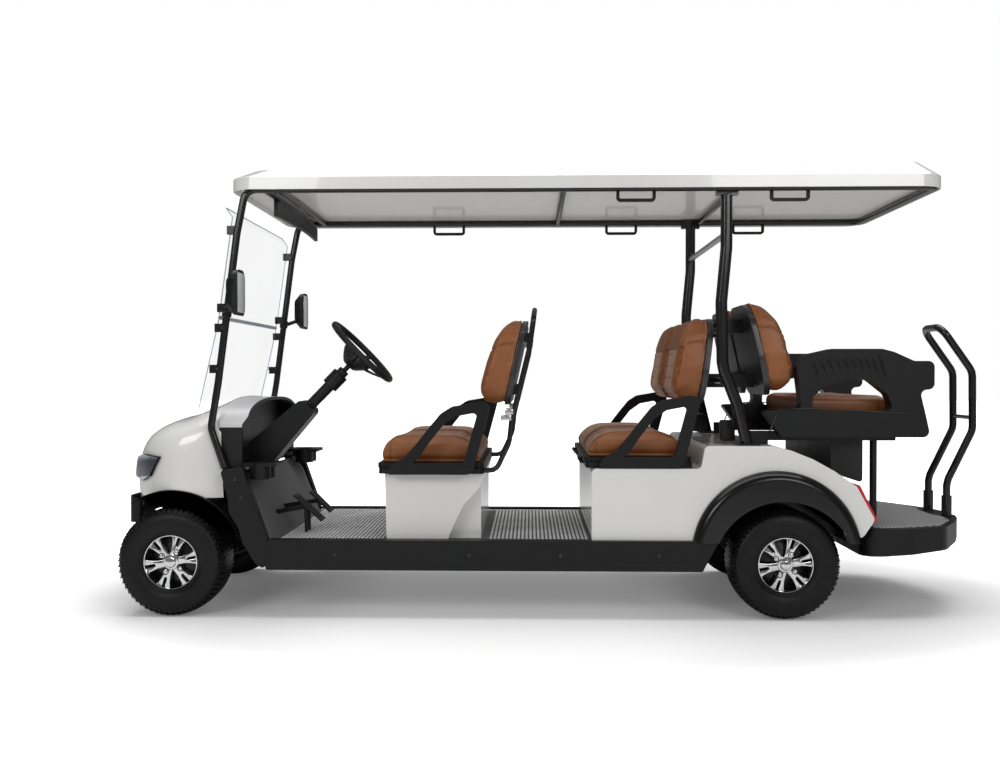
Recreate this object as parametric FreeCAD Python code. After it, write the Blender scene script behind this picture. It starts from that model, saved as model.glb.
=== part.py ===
import FreeCAD
import Part
import math
import os

# Six-seat electric golf cart: two forward-facing bench rows and one rear-facing row.
# +X is forward, +Y is the cart's left, +Z is up. The ground is at Z = 0.
# X = 0 is the middle of the overall length. All lengths are in millimetres.

# Driving sizes of the whole vehicle
half_length = 1936.0
front_axle_x = 1630.0
rear_axle_x = -960.0
axle_z = 230.0
body_half_width = 570.0
seat_in = 60.0
seat_half_width = body_half_width - seat_in
floor_top_z = 320.0
body_deck_z = 728.0
middle_seat_base_share = 0.765
middle_seat_base_z = floor_top_z + (body_deck_z - floor_top_z) * middle_seat_base_share
floor_thickness = 12.0
rail_top_z = 1826.0
fit_gap = 0.3
least_edge = 0.03
overrun = 5.0
panel_wall = 5.0
steer_limit_deg = 30.0

# Wheels
tyre_radius = 230.0
tyre_width = 205.0
tyre_crown_drop = 6.0
tyre_shoulder_drop = 26.0
bead_radius = 125.0
bead_inset = 12.0
wheel_in = 87.5
wheel_offset_y = body_half_width - wheel_in
rim_wall = 7.0
rim_face_in = 26.0
rim_face_thickness = 16.0
rim_lip_radius = 108.0
rim_hub_radius = 44.0
rim_hub_depth = 84.0
rim_cap_radius = 27.0
rim_cap_rise = 9.0
spoke_root_half = 17.0
spoke_tip_half = 27.0
spoke_slot_half = 6.0
spoke_slot_root_share = 0.3
spoke_count = 6
spindle_radius = 18.0

# Front suspension and steering below the floor
kingpin_in = 82.5
kingpin_y = wheel_offset_y - kingpin_in
kingpin_radius = 15.0
kingpin_half_height = 84.0
arm_joint_rise = 66.0
control_arm_radius = 11.0
control_arm_root_y = 205.0
control_arm_spread = 70.0
steer_arm_back = 72.0
steer_arm_thickness = 16.0
steer_arm_half = 12.0
track_rod_radius = 9.0
track_rod_eye_radius = 15.0
track_rod_eye_half = 11.0
track_pin_radius = 7.0
damper_radius = 15.0
damper_spring_radius = 30.0
damper_top_z = 470.0
damper_top_y = 236.0
damper_foot_y = 296.0
coil_crest_share = 1 / 3

# Rear axle
axle_tube_radius = 34.0
axle_housing_radius = 88.0
motor_radius = 84.0
motor_length = 220.0
motor_back = 176.0
bulge_shares = (1 / 3, 0.87)
arm_root_half = 2 * axle_tube_radius
arm_tip_half = 54.4
spring_leaf_width = 50.0
spring_leaf_height = 9.0
spring_eye_share = 1.4
spring_rise = 54.0
spring_half_span = 250.0

# Chassis rails
rail_y = 300.0
rail_width = 50.0
rail_height = 68.0
rail_kick = 84.0
rail_front_y = 190.0
rail_front_x = 1830.0
rail_join_x = 1170.0
rail_rear_x = -1730.0
rail_kick_front_x = -620.0
rail_kick_rear_x = -1205.0
rail_kick_run = 90.0
rail_tail_drop = 18.0
cross_width = 60.0
outrigger_rise = 17.0

# How finely round forms are drawn
tube_sides = 12
bend_step_deg = 26.0
wheel_sides = 40
hub_sides = 24
small_sides = 12


def vec(x, y, z):
    return FreeCAD.Vector(x, y, z)


def corner(before, at, after, radius):
    """Start, middle and end of the arc that rounds the corner at a point, or None where it is straight."""
    back = before.sub(at)
    ahead = after.sub(at)
    shorter = min(back.Length, ahead.Length)
    back.normalize()
    ahead.normalize()
    half = back.getAngle(ahead) / 2
    if radius <= 0 or half > math.radians(89):
        return None
    reach_share = 0.48
    reach = min(radius / math.tan(half), shorter * reach_share)
    real = reach * math.tan(half)
    inward = back.add(ahead)
    inward.normalize()
    centre = at.add(inward * (real / math.sin(half)))
    return at.add(back * reach), centre.sub(inward * real), at.add(ahead * reach)


def path_edges(points, radius, closed):
    """Straight runs through the points with a tangent arc at each corner."""
    count = len(points)
    edges = []
    first = None
    last = None
    for i in range(count):
        if not closed and i in (0, count - 1):
            arc = None
        else:
            arc = corner(points[i - 1], points[i], points[(i + 1) % count], radius)
        start, end = (arc[0], arc[2]) if arc else (points[i], points[i])
        if last is None:
            first = start
        elif last.sub(start).Length > 1e-6:
            edges.append(Part.makeLine(last, start))
        if arc:
            edges.append(Part.Arc(*arc).toShape())
        last = end
    if closed and last.sub(first).Length > 1e-6:
        edges.append(Part.makeLine(last, first))
    return edges


def outline_wire(points, radius=0.0):
    return Part.Wire(path_edges(points, radius, True))


def slab_y(points, y_from, y_to, radius=0.0):
    """A plate across the cart from an outline of (x, z) points."""
    wire = outline_wire([vec(x, y_from, z) for x, z in points], radius)
    return Part.Face(wire).extrude(vec(0, y_to - y_from, 0))


def slab_x(points, x_from, x_to, radius=0.0):
    """A plate along the cart from an outline of (y, z) points."""
    wire = outline_wire([vec(x_from, y, z) for y, z in points], radius)
    return Part.Face(wire).extrude(vec(x_to - x_from, 0, 0))


def slab_z(points, z_from, z_to, radius=0.0):
    """A level plate from an outline of (x, y) points."""
    wire = outline_wire([vec(x, y, z_from) for x, y in points], radius)
    return Part.Face(wire).extrude(vec(0, 0, z_to - z_from))


def box(x_from, x_to, y_from, y_to, z_from, z_to):
    return Part.makeBox(x_to - x_from, y_to - y_from, z_to - z_from, vec(x_from, y_from, z_from))


def rod(start, end, radius):
    along = end.sub(start)
    return Part.makeCylinder(radius, along.Length, start, along)


def stepped(points, bend):
    """The line through the points, with each bend taken in short straight steps."""
    path = []
    for edge in path_edges([vec(*p) for p in points], bend, False):
        turn = edge.tangentAt(edge.FirstParameter).getAngle(edge.tangentAt(edge.LastParameter))
        path += edge.discretize(1 + max(1, math.ceil(turn / math.radians(bend_step_deg))))[:-1]
    path.append(vec(*points[-1]))
    return path


def solid_of(faces):
    """A solid from the flat faces that close it."""
    solid = Part.Solid(Part.Shell(faces))
    if solid.Volume < 0:
        solid.reverse()
    return solid.removeSplitter()


def tube(points, radius, bend):
    """A round bar drawn with flat sides, mitred at each short step of its bends."""
    path = stepped(points, bend)
    ways = [b.sub(a).normalize() for a, b in zip(path, path[1:])]
    turn = FreeCAD.Rotation(vec(0, 0, 1), ways[0])
    tip = radius / math.cos(math.pi / tube_sides)
    ring = []
    for i in range(tube_sides):
        angle = math.tau * (i + 0.5) / tube_sides
        ring.append(path[0].add(turn.multVec(vec(tip * math.cos(angle), tip * math.sin(angle), 0))))
    faces = [Part.Face(Part.makePolygon(ring + ring[:1]))]
    for i, way in enumerate(ways):
        mitre = way.add(ways[i + 1]) if i + 1 < len(ways) else way
        ahead = [p.add(way * (path[i + 1].sub(p).dot(mitre) / way.dot(mitre))) for p in ring]
        for k in range(tube_sides):
            faces.append(Part.Face(Part.makePolygon([ring[k - 1], ring[k], ahead[k], ahead[k - 1], ring[k - 1]])))
        ring = ahead
    faces.append(Part.Face(Part.makePolygon(ring + ring[:1])))
    return solid_of(faces)


def bar(start, end, radius):
    """A straight round bar drawn with flat sides."""
    return tube([start, end], radius, 0.0)


def turned(points, sides):
    """A solid about Z from an outline of (r, z) points, drawn with a number of flat sides."""
    widen = 1 / math.cos(math.pi / sides)
    rings = []
    for i in range(sides + 1):
        angle = math.tau * (i + 0.5) / sides
        rings.append([vec(r * widen * math.cos(angle), r * widen * math.sin(angle), z) for r, z in points])
    faces = []
    for near, far in zip(rings, rings[1:]):
        for k in range(len(points)):
            outline = []
            for p in (near[k - 1], near[k], far[k], far[k - 1]):
                if not outline or min(p.sub(q).Length for q in outline) > least_edge:
                    outline.append(p)
            if len(outline) > 2:
                faces.append(Part.Face(Part.makePolygon(outline + outline[:1])))
    return solid_of(faces)


def mirrored(shape):
    """The same piece on the cart's right side."""
    return shape.mirror(vec(0, 0, 0), vec(0, 1, 0))


def pair(shape):
    return Part.makeCompound([shape, mirrored(shape)])


def fused(shapes):
    whole = shapes[0]
    if len(shapes) > 1:
        whole = whole.fuse(shapes[1:])
    return whole.removeSplitter()


def trimmed(shape, others):
    """A piece cut back to the faces of what it seats on."""
    for other in others:
        shape = shape.cut(other)
    return shape


def placed(shares, x_from, x_to, z_from, z_to):
    """Outline points from shares of a box of named extents."""
    return [(x_from + a * (x_to - x_from), z_from + b * (z_to - z_from)) for a, b in shares]


def turned_y(shape, x, y, z):
    """A solid of revolution made about Z, laid over so that its axis is Y, at a place."""
    laid = shape.copy()
    laid.rotate(vec(0, 0, 0), vec(1, 0, 0), -90)
    laid.translate(vec(x, y, z))
    return laid


def revolved(points, radius=0.0):
    """A solid about Z from an outline of (r, z) points."""
    wire = outline_wire([vec(r, 0, z) for r, z in points], radius)
    return Part.Face(wire).revolve(vec(0, 0, 0), vec(0, 0, 1), 360)


# Wheels: tyre with a crowned tread and bulged walls, and a cast rim with twin-prong spokes

def tyre():
    half = tyre_width / 2
    wall_radius = (tyre_radius + bead_radius) / 2
    tread_half = half - tyre_shoulder_drop / 2
    return turned([
        (bead_radius, -half + bead_inset),
        (bead_radius, half - bead_inset),
        (wall_radius, half),
        (tyre_radius - tyre_shoulder_drop, half - tyre_crown_drop),
        (tyre_radius - tyre_crown_drop, tread_half),
        (tyre_radius, 0),
        (tyre_radius - tyre_crown_drop, -tread_half),
        (tyre_radius - tyre_shoulder_drop, -half + tyre_crown_drop),
        (wall_radius, -half),
    ], wheel_sides)


def spoke():
    """One twin-prong spoke: a flared bar with a slot from its tip towards its root."""
    root = rim_hub_radius / 2
    tip = rim_lip_radius + rim_wall
    bar = [
        (root, -spoke_root_half),
        (tip, -spoke_tip_half),
        (tip, spoke_tip_half),
        (root, spoke_root_half),
    ]
    slot_root = rim_hub_radius + (tip - rim_hub_radius) * spoke_slot_root_share
    slot = [
        (slot_root, -spoke_slot_half),
        (tip - 2 * rim_wall, -2 * spoke_slot_half),
        (tip - 2 * rim_wall, 2 * spoke_slot_half),
        (slot_root, spoke_slot_half),
    ]
    face_out = tyre_width / 2 - rim_face_in
    face_in = face_out - rim_face_thickness
    solid = slab_z(bar, face_in, face_out)
    return solid.cut(slab_z(slot, face_in - overrun, face_out + overrun))


def rim():
    half = tyre_width / 2 - bead_inset
    face_out = tyre_width / 2 - rim_face_in
    barrel = turned([
        (bead_radius - fit_gap, -half),
        (bead_radius - fit_gap, half),
        (bead_radius - rim_wall, half),
        (bead_radius - 2 * rim_wall, face_out),
        (bead_radius - 2 * rim_wall, face_out - rim_face_thickness),
        (bead_radius - rim_wall, -half),
    ], wheel_sides)
    hub = turned([
        (0, face_out - rim_hub_depth), (rim_hub_radius, face_out - rim_hub_depth), (rim_hub_radius, face_out),
        (rim_cap_radius, face_out), (rim_cap_radius - rim_cap_rise, face_out + rim_cap_rise),
        (0, face_out + rim_cap_rise),
    ], hub_sides)
    spokes = []
    for i in range(spoke_count):
        one = spoke()
        one.rotate(vec(0, 0, 0), vec(0, 0, 1), 90 + 360 * i / spoke_count)
        spokes.append(one)
    whole = fused([barrel, hub] + spokes)
    bore = Part.makeCylinder(
        spindle_radius + fit_gap, rim_hub_depth - rim_face_thickness, vec(0, 0, face_out - rim_hub_depth)
    )
    return whole.cut(bore)


def on_left(shape, x):
    """A wheel piece made about Z with its outer side up, set on the left side."""
    return turned_y(shape, x, wheel_offset_y, axle_z)


def on_side(shape, x, side):
    left = on_left(shape, x)
    return left if side > 0 else mirrored(left)


# Knuckle: king pin, spindle and the arm that the track rod turns

spindle_end_y = wheel_offset_y + tyre_width / 2 - rim_face_in - rim_face_thickness - fit_gap


def pin_place():
    """Where the track rod's pin sits on the left steering arm, seen from above."""
    return front_axle_x - steer_arm_back, kingpin_y


def knuckle():
    pin = rod(
        vec(front_axle_x, kingpin_y, axle_z - kingpin_half_height + control_arm_radius),
        vec(front_axle_x, kingpin_y, axle_z + kingpin_half_height - control_arm_radius),
        kingpin_radius,
    )
    spindle = rod(
        vec(front_axle_x, kingpin_y, axle_z),
        vec(front_axle_x, spindle_end_y, axle_z),
        spindle_radius,
    )
    pin_x, pin_y = pin_place()
    arm = slab_z([
        (front_axle_x, pin_y - steer_arm_half),
        (pin_x - steer_arm_half, pin_y - steer_arm_half),
        (pin_x - steer_arm_half, pin_y + steer_arm_half),
        (front_axle_x, pin_y + steer_arm_half),
    ], axle_z - steer_arm_thickness, axle_z, steer_arm_half / 2)
    stub = rod(
        vec(pin_x, pin_y, axle_z - steer_arm_thickness - 2 * track_rod_eye_half),
        vec(pin_x, pin_y, axle_z - steer_arm_thickness / 2),
        track_pin_radius,
    )
    return fused([pin, spindle, arm, stub])


def track_rod():
    pin_x, pin_y = pin_place()
    z = axle_z - steer_arm_thickness - track_rod_eye_half - fit_gap
    whole = rod(vec(pin_x, -pin_y, z), vec(pin_x, pin_y, z), track_rod_radius)
    for side in (1, -1):
        low = vec(pin_x, side * pin_y, z - track_rod_eye_half)
        high = vec(pin_x, side * pin_y, z + track_rod_eye_half)
        whole = whole.fuse(rod(low, high, track_rod_eye_radius))
        whole = whole.cut(rod(low, high, track_pin_radius + fit_gap))
    return whole


def front_arms():
    """Upper and lower A-shaped arms with the eyes that hold the king pin."""
    pieces = []
    for rise in (-arm_joint_rise, arm_joint_rise):
        z = axle_z + rise
        eye_low = z - control_arm_radius
        outward = math.copysign(kingpin_half_height - arm_joint_rise, rise)
        eye_base = min(z, z + outward) - control_arm_radius / 2
        eye = Part.makeCylinder(
            kingpin_radius + control_arm_radius / 2,
            abs(outward) + control_arm_radius,
            vec(front_axle_x, kingpin_y, eye_base),
        )
        legs = [
            bar(
                vec(front_axle_x + spread, control_arm_root_y, z),
                vec(front_axle_x, kingpin_y, z),
                control_arm_radius,
            )
            for spread in (-control_arm_spread, control_arm_spread)
        ]
        if rise < 0:
            gap = control_arm_spread * (kingpin_y - damper_foot_y) / (kingpin_y - control_arm_root_y)
            legs.append(bar(
                vec(front_axle_x - gap, damper_foot_y, z), vec(front_axle_x + gap, damper_foot_y, z),
                control_arm_radius,
            ))
        pieces.append(trimmed(fused(legs + [eye]), [kingpin_clearance()]))
    return Part.makeCompound(pieces)


def kingpin_clearance():
    return rod(
        vec(front_axle_x, kingpin_y, axle_z - kingpin_half_height + control_arm_radius - fit_gap),
        vec(front_axle_x, kingpin_y, axle_z + kingpin_half_height - control_arm_radius + fit_gap),
        kingpin_radius + fit_gap,
    )


# Front suspension: a cross beam below the rails, paired arms and coil-over dampers

spring_coils = 5
spring_wire = 12.0
spring_start_share = 0.28
spring_share = 0.62
beam_half_x = 36.0
beam_low_z = 146.0
tower_thickness = 12.0
tower_half_x = 48.0


def front_axle():
    beam = box(
        front_axle_x - beam_half_x, front_axle_x + beam_half_x,
        -control_arm_root_y, control_arm_root_y, beam_low_z, rail_bottom_z(),
    )
    mounts = []
    for side in (1, -1):
        for rise in (-arm_joint_rise, arm_joint_rise):
            z = axle_z + rise
            mounts.append(bar(
                vec(front_axle_x - control_arm_spread, side * control_arm_root_y, z),
                vec(front_axle_x + control_arm_spread, side * control_arm_root_y, z),
                control_arm_radius,
            ))
    tower = slab_y([
        (front_axle_x - tower_half_x, rail_top()),
        (front_axle_x + tower_half_x, rail_top()),
        (front_axle_x + damper_spring_radius, damper_top_z + damper_radius),
        (front_axle_x - damper_spring_radius, damper_top_z + damper_radius),
    ], rail_front_y + rail_width / 2 - tower_thickness, rail_front_y + rail_width / 2)
    arms = front_arms()
    rails = front_rail_solid()
    left = fused([arms.Solids[0], arms.Solids[1]] + mounts[:2] + [beam])
    right = mirrored(fused([arms.Solids[0], arms.Solids[1]] + mounts[:2]))
    whole = fused([left, right])
    body = trimmed(whole, [rails, mirrored(rails)])
    return Part.makeCompound(body.Solids + pair(tower).Solids)


def damper():
    """A coil-over damper: body, rod and a spring drawn as a sleeve of stacked coils."""
    foot = vec(front_axle_x, damper_foot_y, axle_z - arm_joint_rise)
    top = vec(front_axle_x, damper_top_y, damper_top_z)
    along = top.sub(foot)
    length = along.Length
    pitch = length * spring_share / spring_coils
    points = [(0, 0), (damper_radius, 0), (damper_radius, length * spring_start_share)]
    for i in range(spring_coils):
        base = length * spring_start_share + i * pitch
        points.append((damper_spring_radius, base + pitch * coil_crest_share))
        points.append((damper_spring_radius - spring_wire, base + pitch))
    points += [(damper_radius / 2, length), (0, length)]
    solid = turned(points, small_sides)
    solid.Placement = FreeCAD.Placement(foot, FreeCAD.Rotation(vec(0, 0, 1), along))
    return solid


# Chassis rails: straight under the floor, drawn in between the front wheels, kicked up over the rear axle

def rail_bottom_z():
    return rail_top() - rail_height


def rail_top():
    return floor_top_z - floor_thickness


def front_rail_solid():
    return box(
        rail_join_x, rail_front_x,
        rail_front_y - rail_width / 2, rail_front_y + rail_width / 2, rail_bottom_z(), rail_top(),
    )


def main_rail_solid():
    low = rail_bottom_z()
    top = rail_top()
    tail = rail_kick - rail_tail_drop
    points = [
        (rail_join_x + cross_width, low),
        (rail_join_x + cross_width, top),
        (rail_kick_front_x, top),
        (rail_kick_front_x - rail_kick_run, top + rail_kick),
        (rail_kick_rear_x, top + rail_kick),
        (rail_kick_rear_x - rail_kick_run, top + tail),
        (rail_rear_x, top + tail),
        (rail_rear_x, low + tail),
        (rail_kick_rear_x - rail_kick_run, low + tail),
        (rail_kick_rear_x, low + rail_kick),
        (rail_kick_front_x - rail_kick_run, low + rail_kick),
        (rail_kick_front_x, low),
    ]
    return slab_y(points, rail_y - rail_width / 2, rail_y + rail_width / 2, rail_width / 2)


def frame():
    low = rail_bottom_z()
    top = rail_top()
    inner = rail_y - rail_width / 2
    front_inner = rail_front_y - rail_width / 2
    tail = rail_kick - rail_tail_drop
    outrigger_half = body_half_width - sill_depth
    pieces = [front_rail_solid(), mirrored(front_rail_solid()), main_rail_solid(), mirrored(main_rail_solid())]
    pieces.append(box(rail_join_x, rail_join_x + cross_width, -rail_y, rail_y, low, top))
    pieces.append(box(rail_front_x - cross_width, rail_front_x, -front_inner, front_inner, low, top))
    for share in cross_member_shares:
        x = rail_kick_front_x + (rail_join_x - rail_kick_front_x) * share
        pieces.append(box(x, x + cross_width, -outrigger_half, outrigger_half, low + outrigger_rise, top))
    pieces.append(box(rail_rear_x, rail_rear_x + cross_width, -inner, inner, low + tail, top + tail))
    pieces.append(box(
        rail_kick_rear_x, rail_kick_rear_x + cross_width, -inner, inner, low + rail_kick, top + rail_kick,
    ))
    return fused(pieces)


cross_member_shares = (0.06, 0.34, 0.62, 0.9)


# Rear axle: tube, differential housing and motor, held by two leaf springs

def rear_axle():
    end = spindle_end_y
    tube_end = wheel_offset_y - tyre_width / 2 - rim_wall
    beam = bar(vec(rear_axle_x, -tube_end, axle_z), vec(rear_axle_x, tube_end, axle_z), axle_tube_radius)
    spindle = rod(vec(rear_axle_x, -end, axle_z), vec(rear_axle_x, end, axle_z), spindle_radius)
    bulge = axle_housing_radius
    housing = turned_y(turned([
        (0, -bulge), (bulge / 2, -bulge * bulge_shares[1]), (bulge, -bulge * bulge_shares[0]),
        (bulge, bulge * bulge_shares[0]), (bulge / 2, bulge * bulge_shares[1]), (0, bulge),
    ], hub_sides), rear_axle_x, 0, axle_z)
    reducer = slab_y([
        (rear_axle_x, axle_z - arm_root_half),
        (rear_axle_x, axle_z + arm_root_half),
        (rear_axle_x - motor_back, axle_z + arm_tip_half),
        (rear_axle_x - motor_back, axle_z - arm_tip_half),
    ], -axle_tube_radius, axle_tube_radius, axle_tube_radius)
    return fused([beam, spindle, housing, reducer])


def drive_motor():
    start = axle_tube_radius
    return rod(
        vec(rear_axle_x - motor_back, start, axle_z),
        vec(rear_axle_x - motor_back, start + motor_length, axle_z),
        motor_radius,
    )


def leaf_spring():
    """Curved leaves, each shorter than the one above, clamped on the axle tube and hung from the rail."""
    base = axle_z + axle_tube_radius
    eye_z = base + spring_rise
    low = spring_leaf_height
    y_from = rail_y - spring_leaf_width / 2
    leaf_shares = (1.0, 0.72, 0.46)
    pieces = []
    for i, share in enumerate(leaf_shares):
        span = spring_half_span * share
        lift = (spring_rise - 2 * low) * share * share
        bottom = base + (len(leaf_shares) - 1 - i) * low
        pieces.append(arched_leaf(span, bottom, lift, low, y_from))
    for end in (-1, 1):
        x = rear_axle_x + end * spring_half_span
        kick_low = rail_bottom_z() + rail_kick
        start = vec(x, y_from, eye_z - low)
        pieces.append(rod(start, start.add(vec(0, spring_leaf_width, 0)), low * spring_eye_share))
        pieces.append(box(x - low, x + low, y_from, y_from + spring_leaf_width, eye_z - low, kick_low))
    rails = main_rail_solid()
    return trimmed(fused(pieces), [rails])


def arched_leaf(span, bottom, lift, thick, y_from):
    lower = Part.Arc(
        vec(rear_axle_x - span, y_from, bottom + lift),
        vec(rear_axle_x, y_from, bottom),
        vec(rear_axle_x + span, y_from, bottom + lift),
    ).toShape()
    upper = Part.Arc(
        vec(rear_axle_x + span, y_from, bottom + lift + thick),
        vec(rear_axle_x, y_from, bottom + thick),
        vec(rear_axle_x - span, y_from, bottom + lift + thick),
    ).toShape()
    right = Part.makeLine(upper.Vertexes[-1].Point, lower.Vertexes[0].Point)
    left = Part.makeLine(lower.Vertexes[-1].Point, upper.Vertexes[0].Point)
    wire = Part.Wire([lower, left, upper, right])
    return Part.Face(wire).extrude(vec(0, spring_leaf_width, 0))


# Floor, toe board and outer sills

floor_front_x = 1210.0
floor_rear_x = -610.0
sill_depth = 30.0
sill_out = 30.0
sill_outer_y = body_half_width + sill_out
sill_top_z = 332.0
sill_bottom_z = 206.0
sill_wall = 5.0
sill_round = 10.0
sill_front_slant = 8.0
sill_rear_slant = 66.0
toe_knee_x = 1298.0
toe_knee_z = 540.0
toe_top_x = 1348.0
toe_top_z = 600.0
toe_thickness = 8.0


def floor():
    half = body_half_width - sill_depth
    return box(floor_rear_x, floor_front_x, -half, half, floor_top_z - floor_thickness, floor_top_z)


def toe_board():
    half = body_half_width - sill_depth
    back = toe_thickness
    points = [
        (floor_front_x, floor_top_z - floor_thickness),
        (floor_front_x, floor_top_z),
        (toe_knee_x, toe_knee_z),
        (toe_top_x, toe_top_z),
        (toe_top_x + back, toe_top_z - back),
        (toe_knee_x + back, toe_knee_z - back),
        (floor_front_x + back, floor_top_z - floor_thickness),
    ]
    return slab_y(points, -half, half)


def sill_block():
    points = [
        (floor_front_x, sill_top_z),
        (floor_front_x + sill_front_slant, sill_bottom_z),
        (floor_rear_x, sill_bottom_z),
        (floor_rear_x - sill_rear_slant, sill_top_z),
    ]
    return slab_y(points, body_half_width - sill_depth, sill_outer_y, sill_round)


def sill():
    hollow = slab_y([
        (floor_front_x - sill_round, sill_top_z - sill_wall),
        (floor_front_x - sill_round, sill_bottom_z - overrun),
        (floor_rear_x, sill_bottom_z - overrun),
        (floor_rear_x - sill_rear_slant / 2, sill_top_z - sill_wall),
    ], body_half_width - sill_depth - overrun, sill_outer_y - sill_wall)
    return sill_block().cut(hollow)


# Front cowl: fanned sections from the nose lip to the dash, opened over the front wheels

cowl_rear_x = 1432.0
cowl_rear_foot_x = 1396.0
cowl_nose_x = 1896.0
cowl_low_z = 500.0
cowl_crest_z = 930.0
cowl_in = 25.0
cowl_half_width = body_half_width - cowl_in
arch_radius = 305.0
nose_low_z = 430.0
cowl_wall = 6.0
lamp_round = 12.0
lamp_inner_y = 205.0
lamp_rear_x = 1685.0
lamp_front_x = 1935.0
lamp_low_z = 562.0
lamp_high_z = 682.0
lamp_outline_shares = (
    (0.0, 0.94), (0.35, 1.0), (1.0, 0.72), (1.0, 0.18), (0.44, 0.0), (0.22, 0.22),
)

# Foot x, foot height, crest x, crest height and half width of each cowl section, nose first.
# Lengths run from the cowl's rear (0) to the nose (1), heights from the ground (0) to the crest (1).
cowl_station_shares = (
    (0.958, 0.462, 0.996, 0.511, 0.37),
    (0.916, 0.469, 0.964, 0.618, 0.50),
    (0.858, 0.480, 0.912, 0.723, 0.63),
    (0.788, 0.495, 0.842, 0.809, 0.74),
    (0.672, 0.516, 0.722, 0.863, 0.87),
    (0.548, 0.538, 0.568, 0.897, 0.96),
    (0.417, 0.538, 0.417, 0.918, 1.0),
    (0.230, 0.538, 0.240, 0.958, 0.985),
    (0.042, 0.538, 0.081, 0.997, 0.945),
)
# Across half a section: side height share and width share, from foot to crest
cowl_section_shares = (
    (1.0, 0.0), (1.0, 0.36), (0.984, 0.63), (0.945, 0.775),
    (0.86, 0.872), (0.72, 0.934), (0.40, 0.985), (0.0, 1.0),
)


def cowl_section(station, inset, shift):
    foot_x_share, foot_z_share, crest_x_share, crest_z_share, width_share = station
    run = cowl_nose_x - cowl_rear_foot_x
    foot = vec(cowl_rear_foot_x + run * foot_x_share + shift, 0, cowl_crest_z * foot_z_share)
    crest = vec(cowl_rear_foot_x + run * crest_x_share + shift, 0, cowl_crest_z * crest_z_share)
    up = crest.sub(foot)
    up.normalize()
    half = cowl_half_width * width_share - inset
    crest = crest.sub(up * inset)
    foot = foot.sub(up * inset)
    rise = crest.sub(foot)
    left = [foot + rise * s + vec(0, half * w, 0) for w, s in cowl_section_shares]
    right = [foot + rise * s - vec(0, half * w, 0) for w, s in reversed(cowl_section_shares[:-1])]
    return left + right


def cowl_solid(inset):
    """The cowl's outer form, or with an inset the space inside it, open at the foot and the rear."""
    last = len(cowl_station_shares) - 1
    rings = []
    for i, station in enumerate(cowl_station_shares):
        shift = 0.0
        if i == 0:
            shift = -2 * inset
        if i == last:
            shift = -inset
        rings.append(cowl_section(station, inset, shift))
    outlines = [rings[0], rings[-1]]
    for near, far in zip(rings, rings[1:]):
        for k in range(len(near)):
            outlines.append([near[k - 1], near[k], far[k]])
            outlines.append([near[k - 1], far[k], far[k - 1]])
    return solid_of([Part.Face(Part.makePolygon(points + points[:1])) for points in outlines])


def lamp_prism():
    points = placed(lamp_outline_shares, lamp_rear_x, lamp_front_x, lamp_low_z, lamp_high_z)
    return slab_y(points, lamp_inner_y, cowl_half_width + overrun, lamp_round)


def arch_cut():
    outer = cowl_half_width + overrun
    inner = rail_front_y + rail_width
    return rod(vec(front_axle_x, inner, axle_z), vec(front_axle_x, outer, axle_z), arch_radius)


def cowl_shell():
    return cowl_solid(0.0).cut(cowl_solid(cowl_wall))


def front_cowl(shell):
    lamps = lamp_prism()
    arch = arch_cut()
    return trimmed(shell, [lamps, mirrored(lamps), arch, mirrored(arch)])


def headlamps(shell):
    lamps = lamp_prism()
    left = shell.common(lamps)
    return Part.makeCompound(left.Solids + mirrored(left).Solids)


# Front bumper: a dark valance below the nose lip that turns back at its ends

bumper_low_z = 372.0
bumper_high_z = 476.0
bumper_half_width = 360.0
bumper_depth = 60.0
bumper_end_back = 60.0
bumper_wall = 8.0
bumper_flat_share = 0.55


def bumper_plan(inset):
    front = half_length - inset
    half = bumper_half_width - inset
    side_x = front - bumper_end_back
    back = half_length - bumper_end_back - bumper_depth + inset
    return [
        (front, -half * bumper_flat_share),
        (front, half * bumper_flat_share),
        (side_x, half),
        (back, half),
        (back, -half),
        (side_x, -half),
    ]


def front_bumper(cowl):
    outer = slab_z(bumper_plan(0.0), bumper_low_z, bumper_high_z, bumper_depth / 2)
    inner_plan = bumper_plan(bumper_wall)
    open_back = half_length - bumper_end_back - bumper_depth - overrun
    inner_plan[3] = (open_back, inner_plan[3][1])
    inner_plan[4] = (open_back, inner_plan[4][1])
    hollow = slab_z(inner_plan, bumper_low_z - overrun, bumper_high_z + overrun)
    horn = slab_y([
        (rail_front_x - cross_width, rail_top()), (rail_front_x, rail_top()),
        (half_length - bumper_wall, bumper_low_z), (half_length - bumper_wall, bumper_high_z - bumper_wall),
        (rail_front_x - cross_width, bumper_low_z),
    ], rail_front_y - bumper_wall / 2, rail_front_y + bumper_wall / 2)
    return fused([outer.cut(hollow), horn, mirrored(horn)]).cut(cowl)


# Dash: an open bin under an arched hood, side cheeks, and a shelf with cup wells at each side

dash_in = 65.0
dash_half_width = body_half_width - dash_in
dash_rear_x = 1316.0
dash_low_z = 612.0
dash_side_z = 812.0
dash_crown_z = 922.0
dash_wall = 14.0
dash_toe_rise = 56.0
dash_bin_floor_z = 716.0
dash_bin_back = 30.0
dash_cheek_rear_x = 1339.0
dash_hood_lean = 46.0
cup_radius = 38.0
cup_depth = 62.0
cup_wall = 7.0
cup_top_z = 648.0
cup_rear_x = 1190.0
cup_pod_near_in = 198.0
cup_pod_near_y = body_half_width - cup_pod_near_in
cup_pod_far_in = 34.0
cup_pod_far_y = body_half_width - cup_pod_far_in
cup_lip = 14.0


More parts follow.
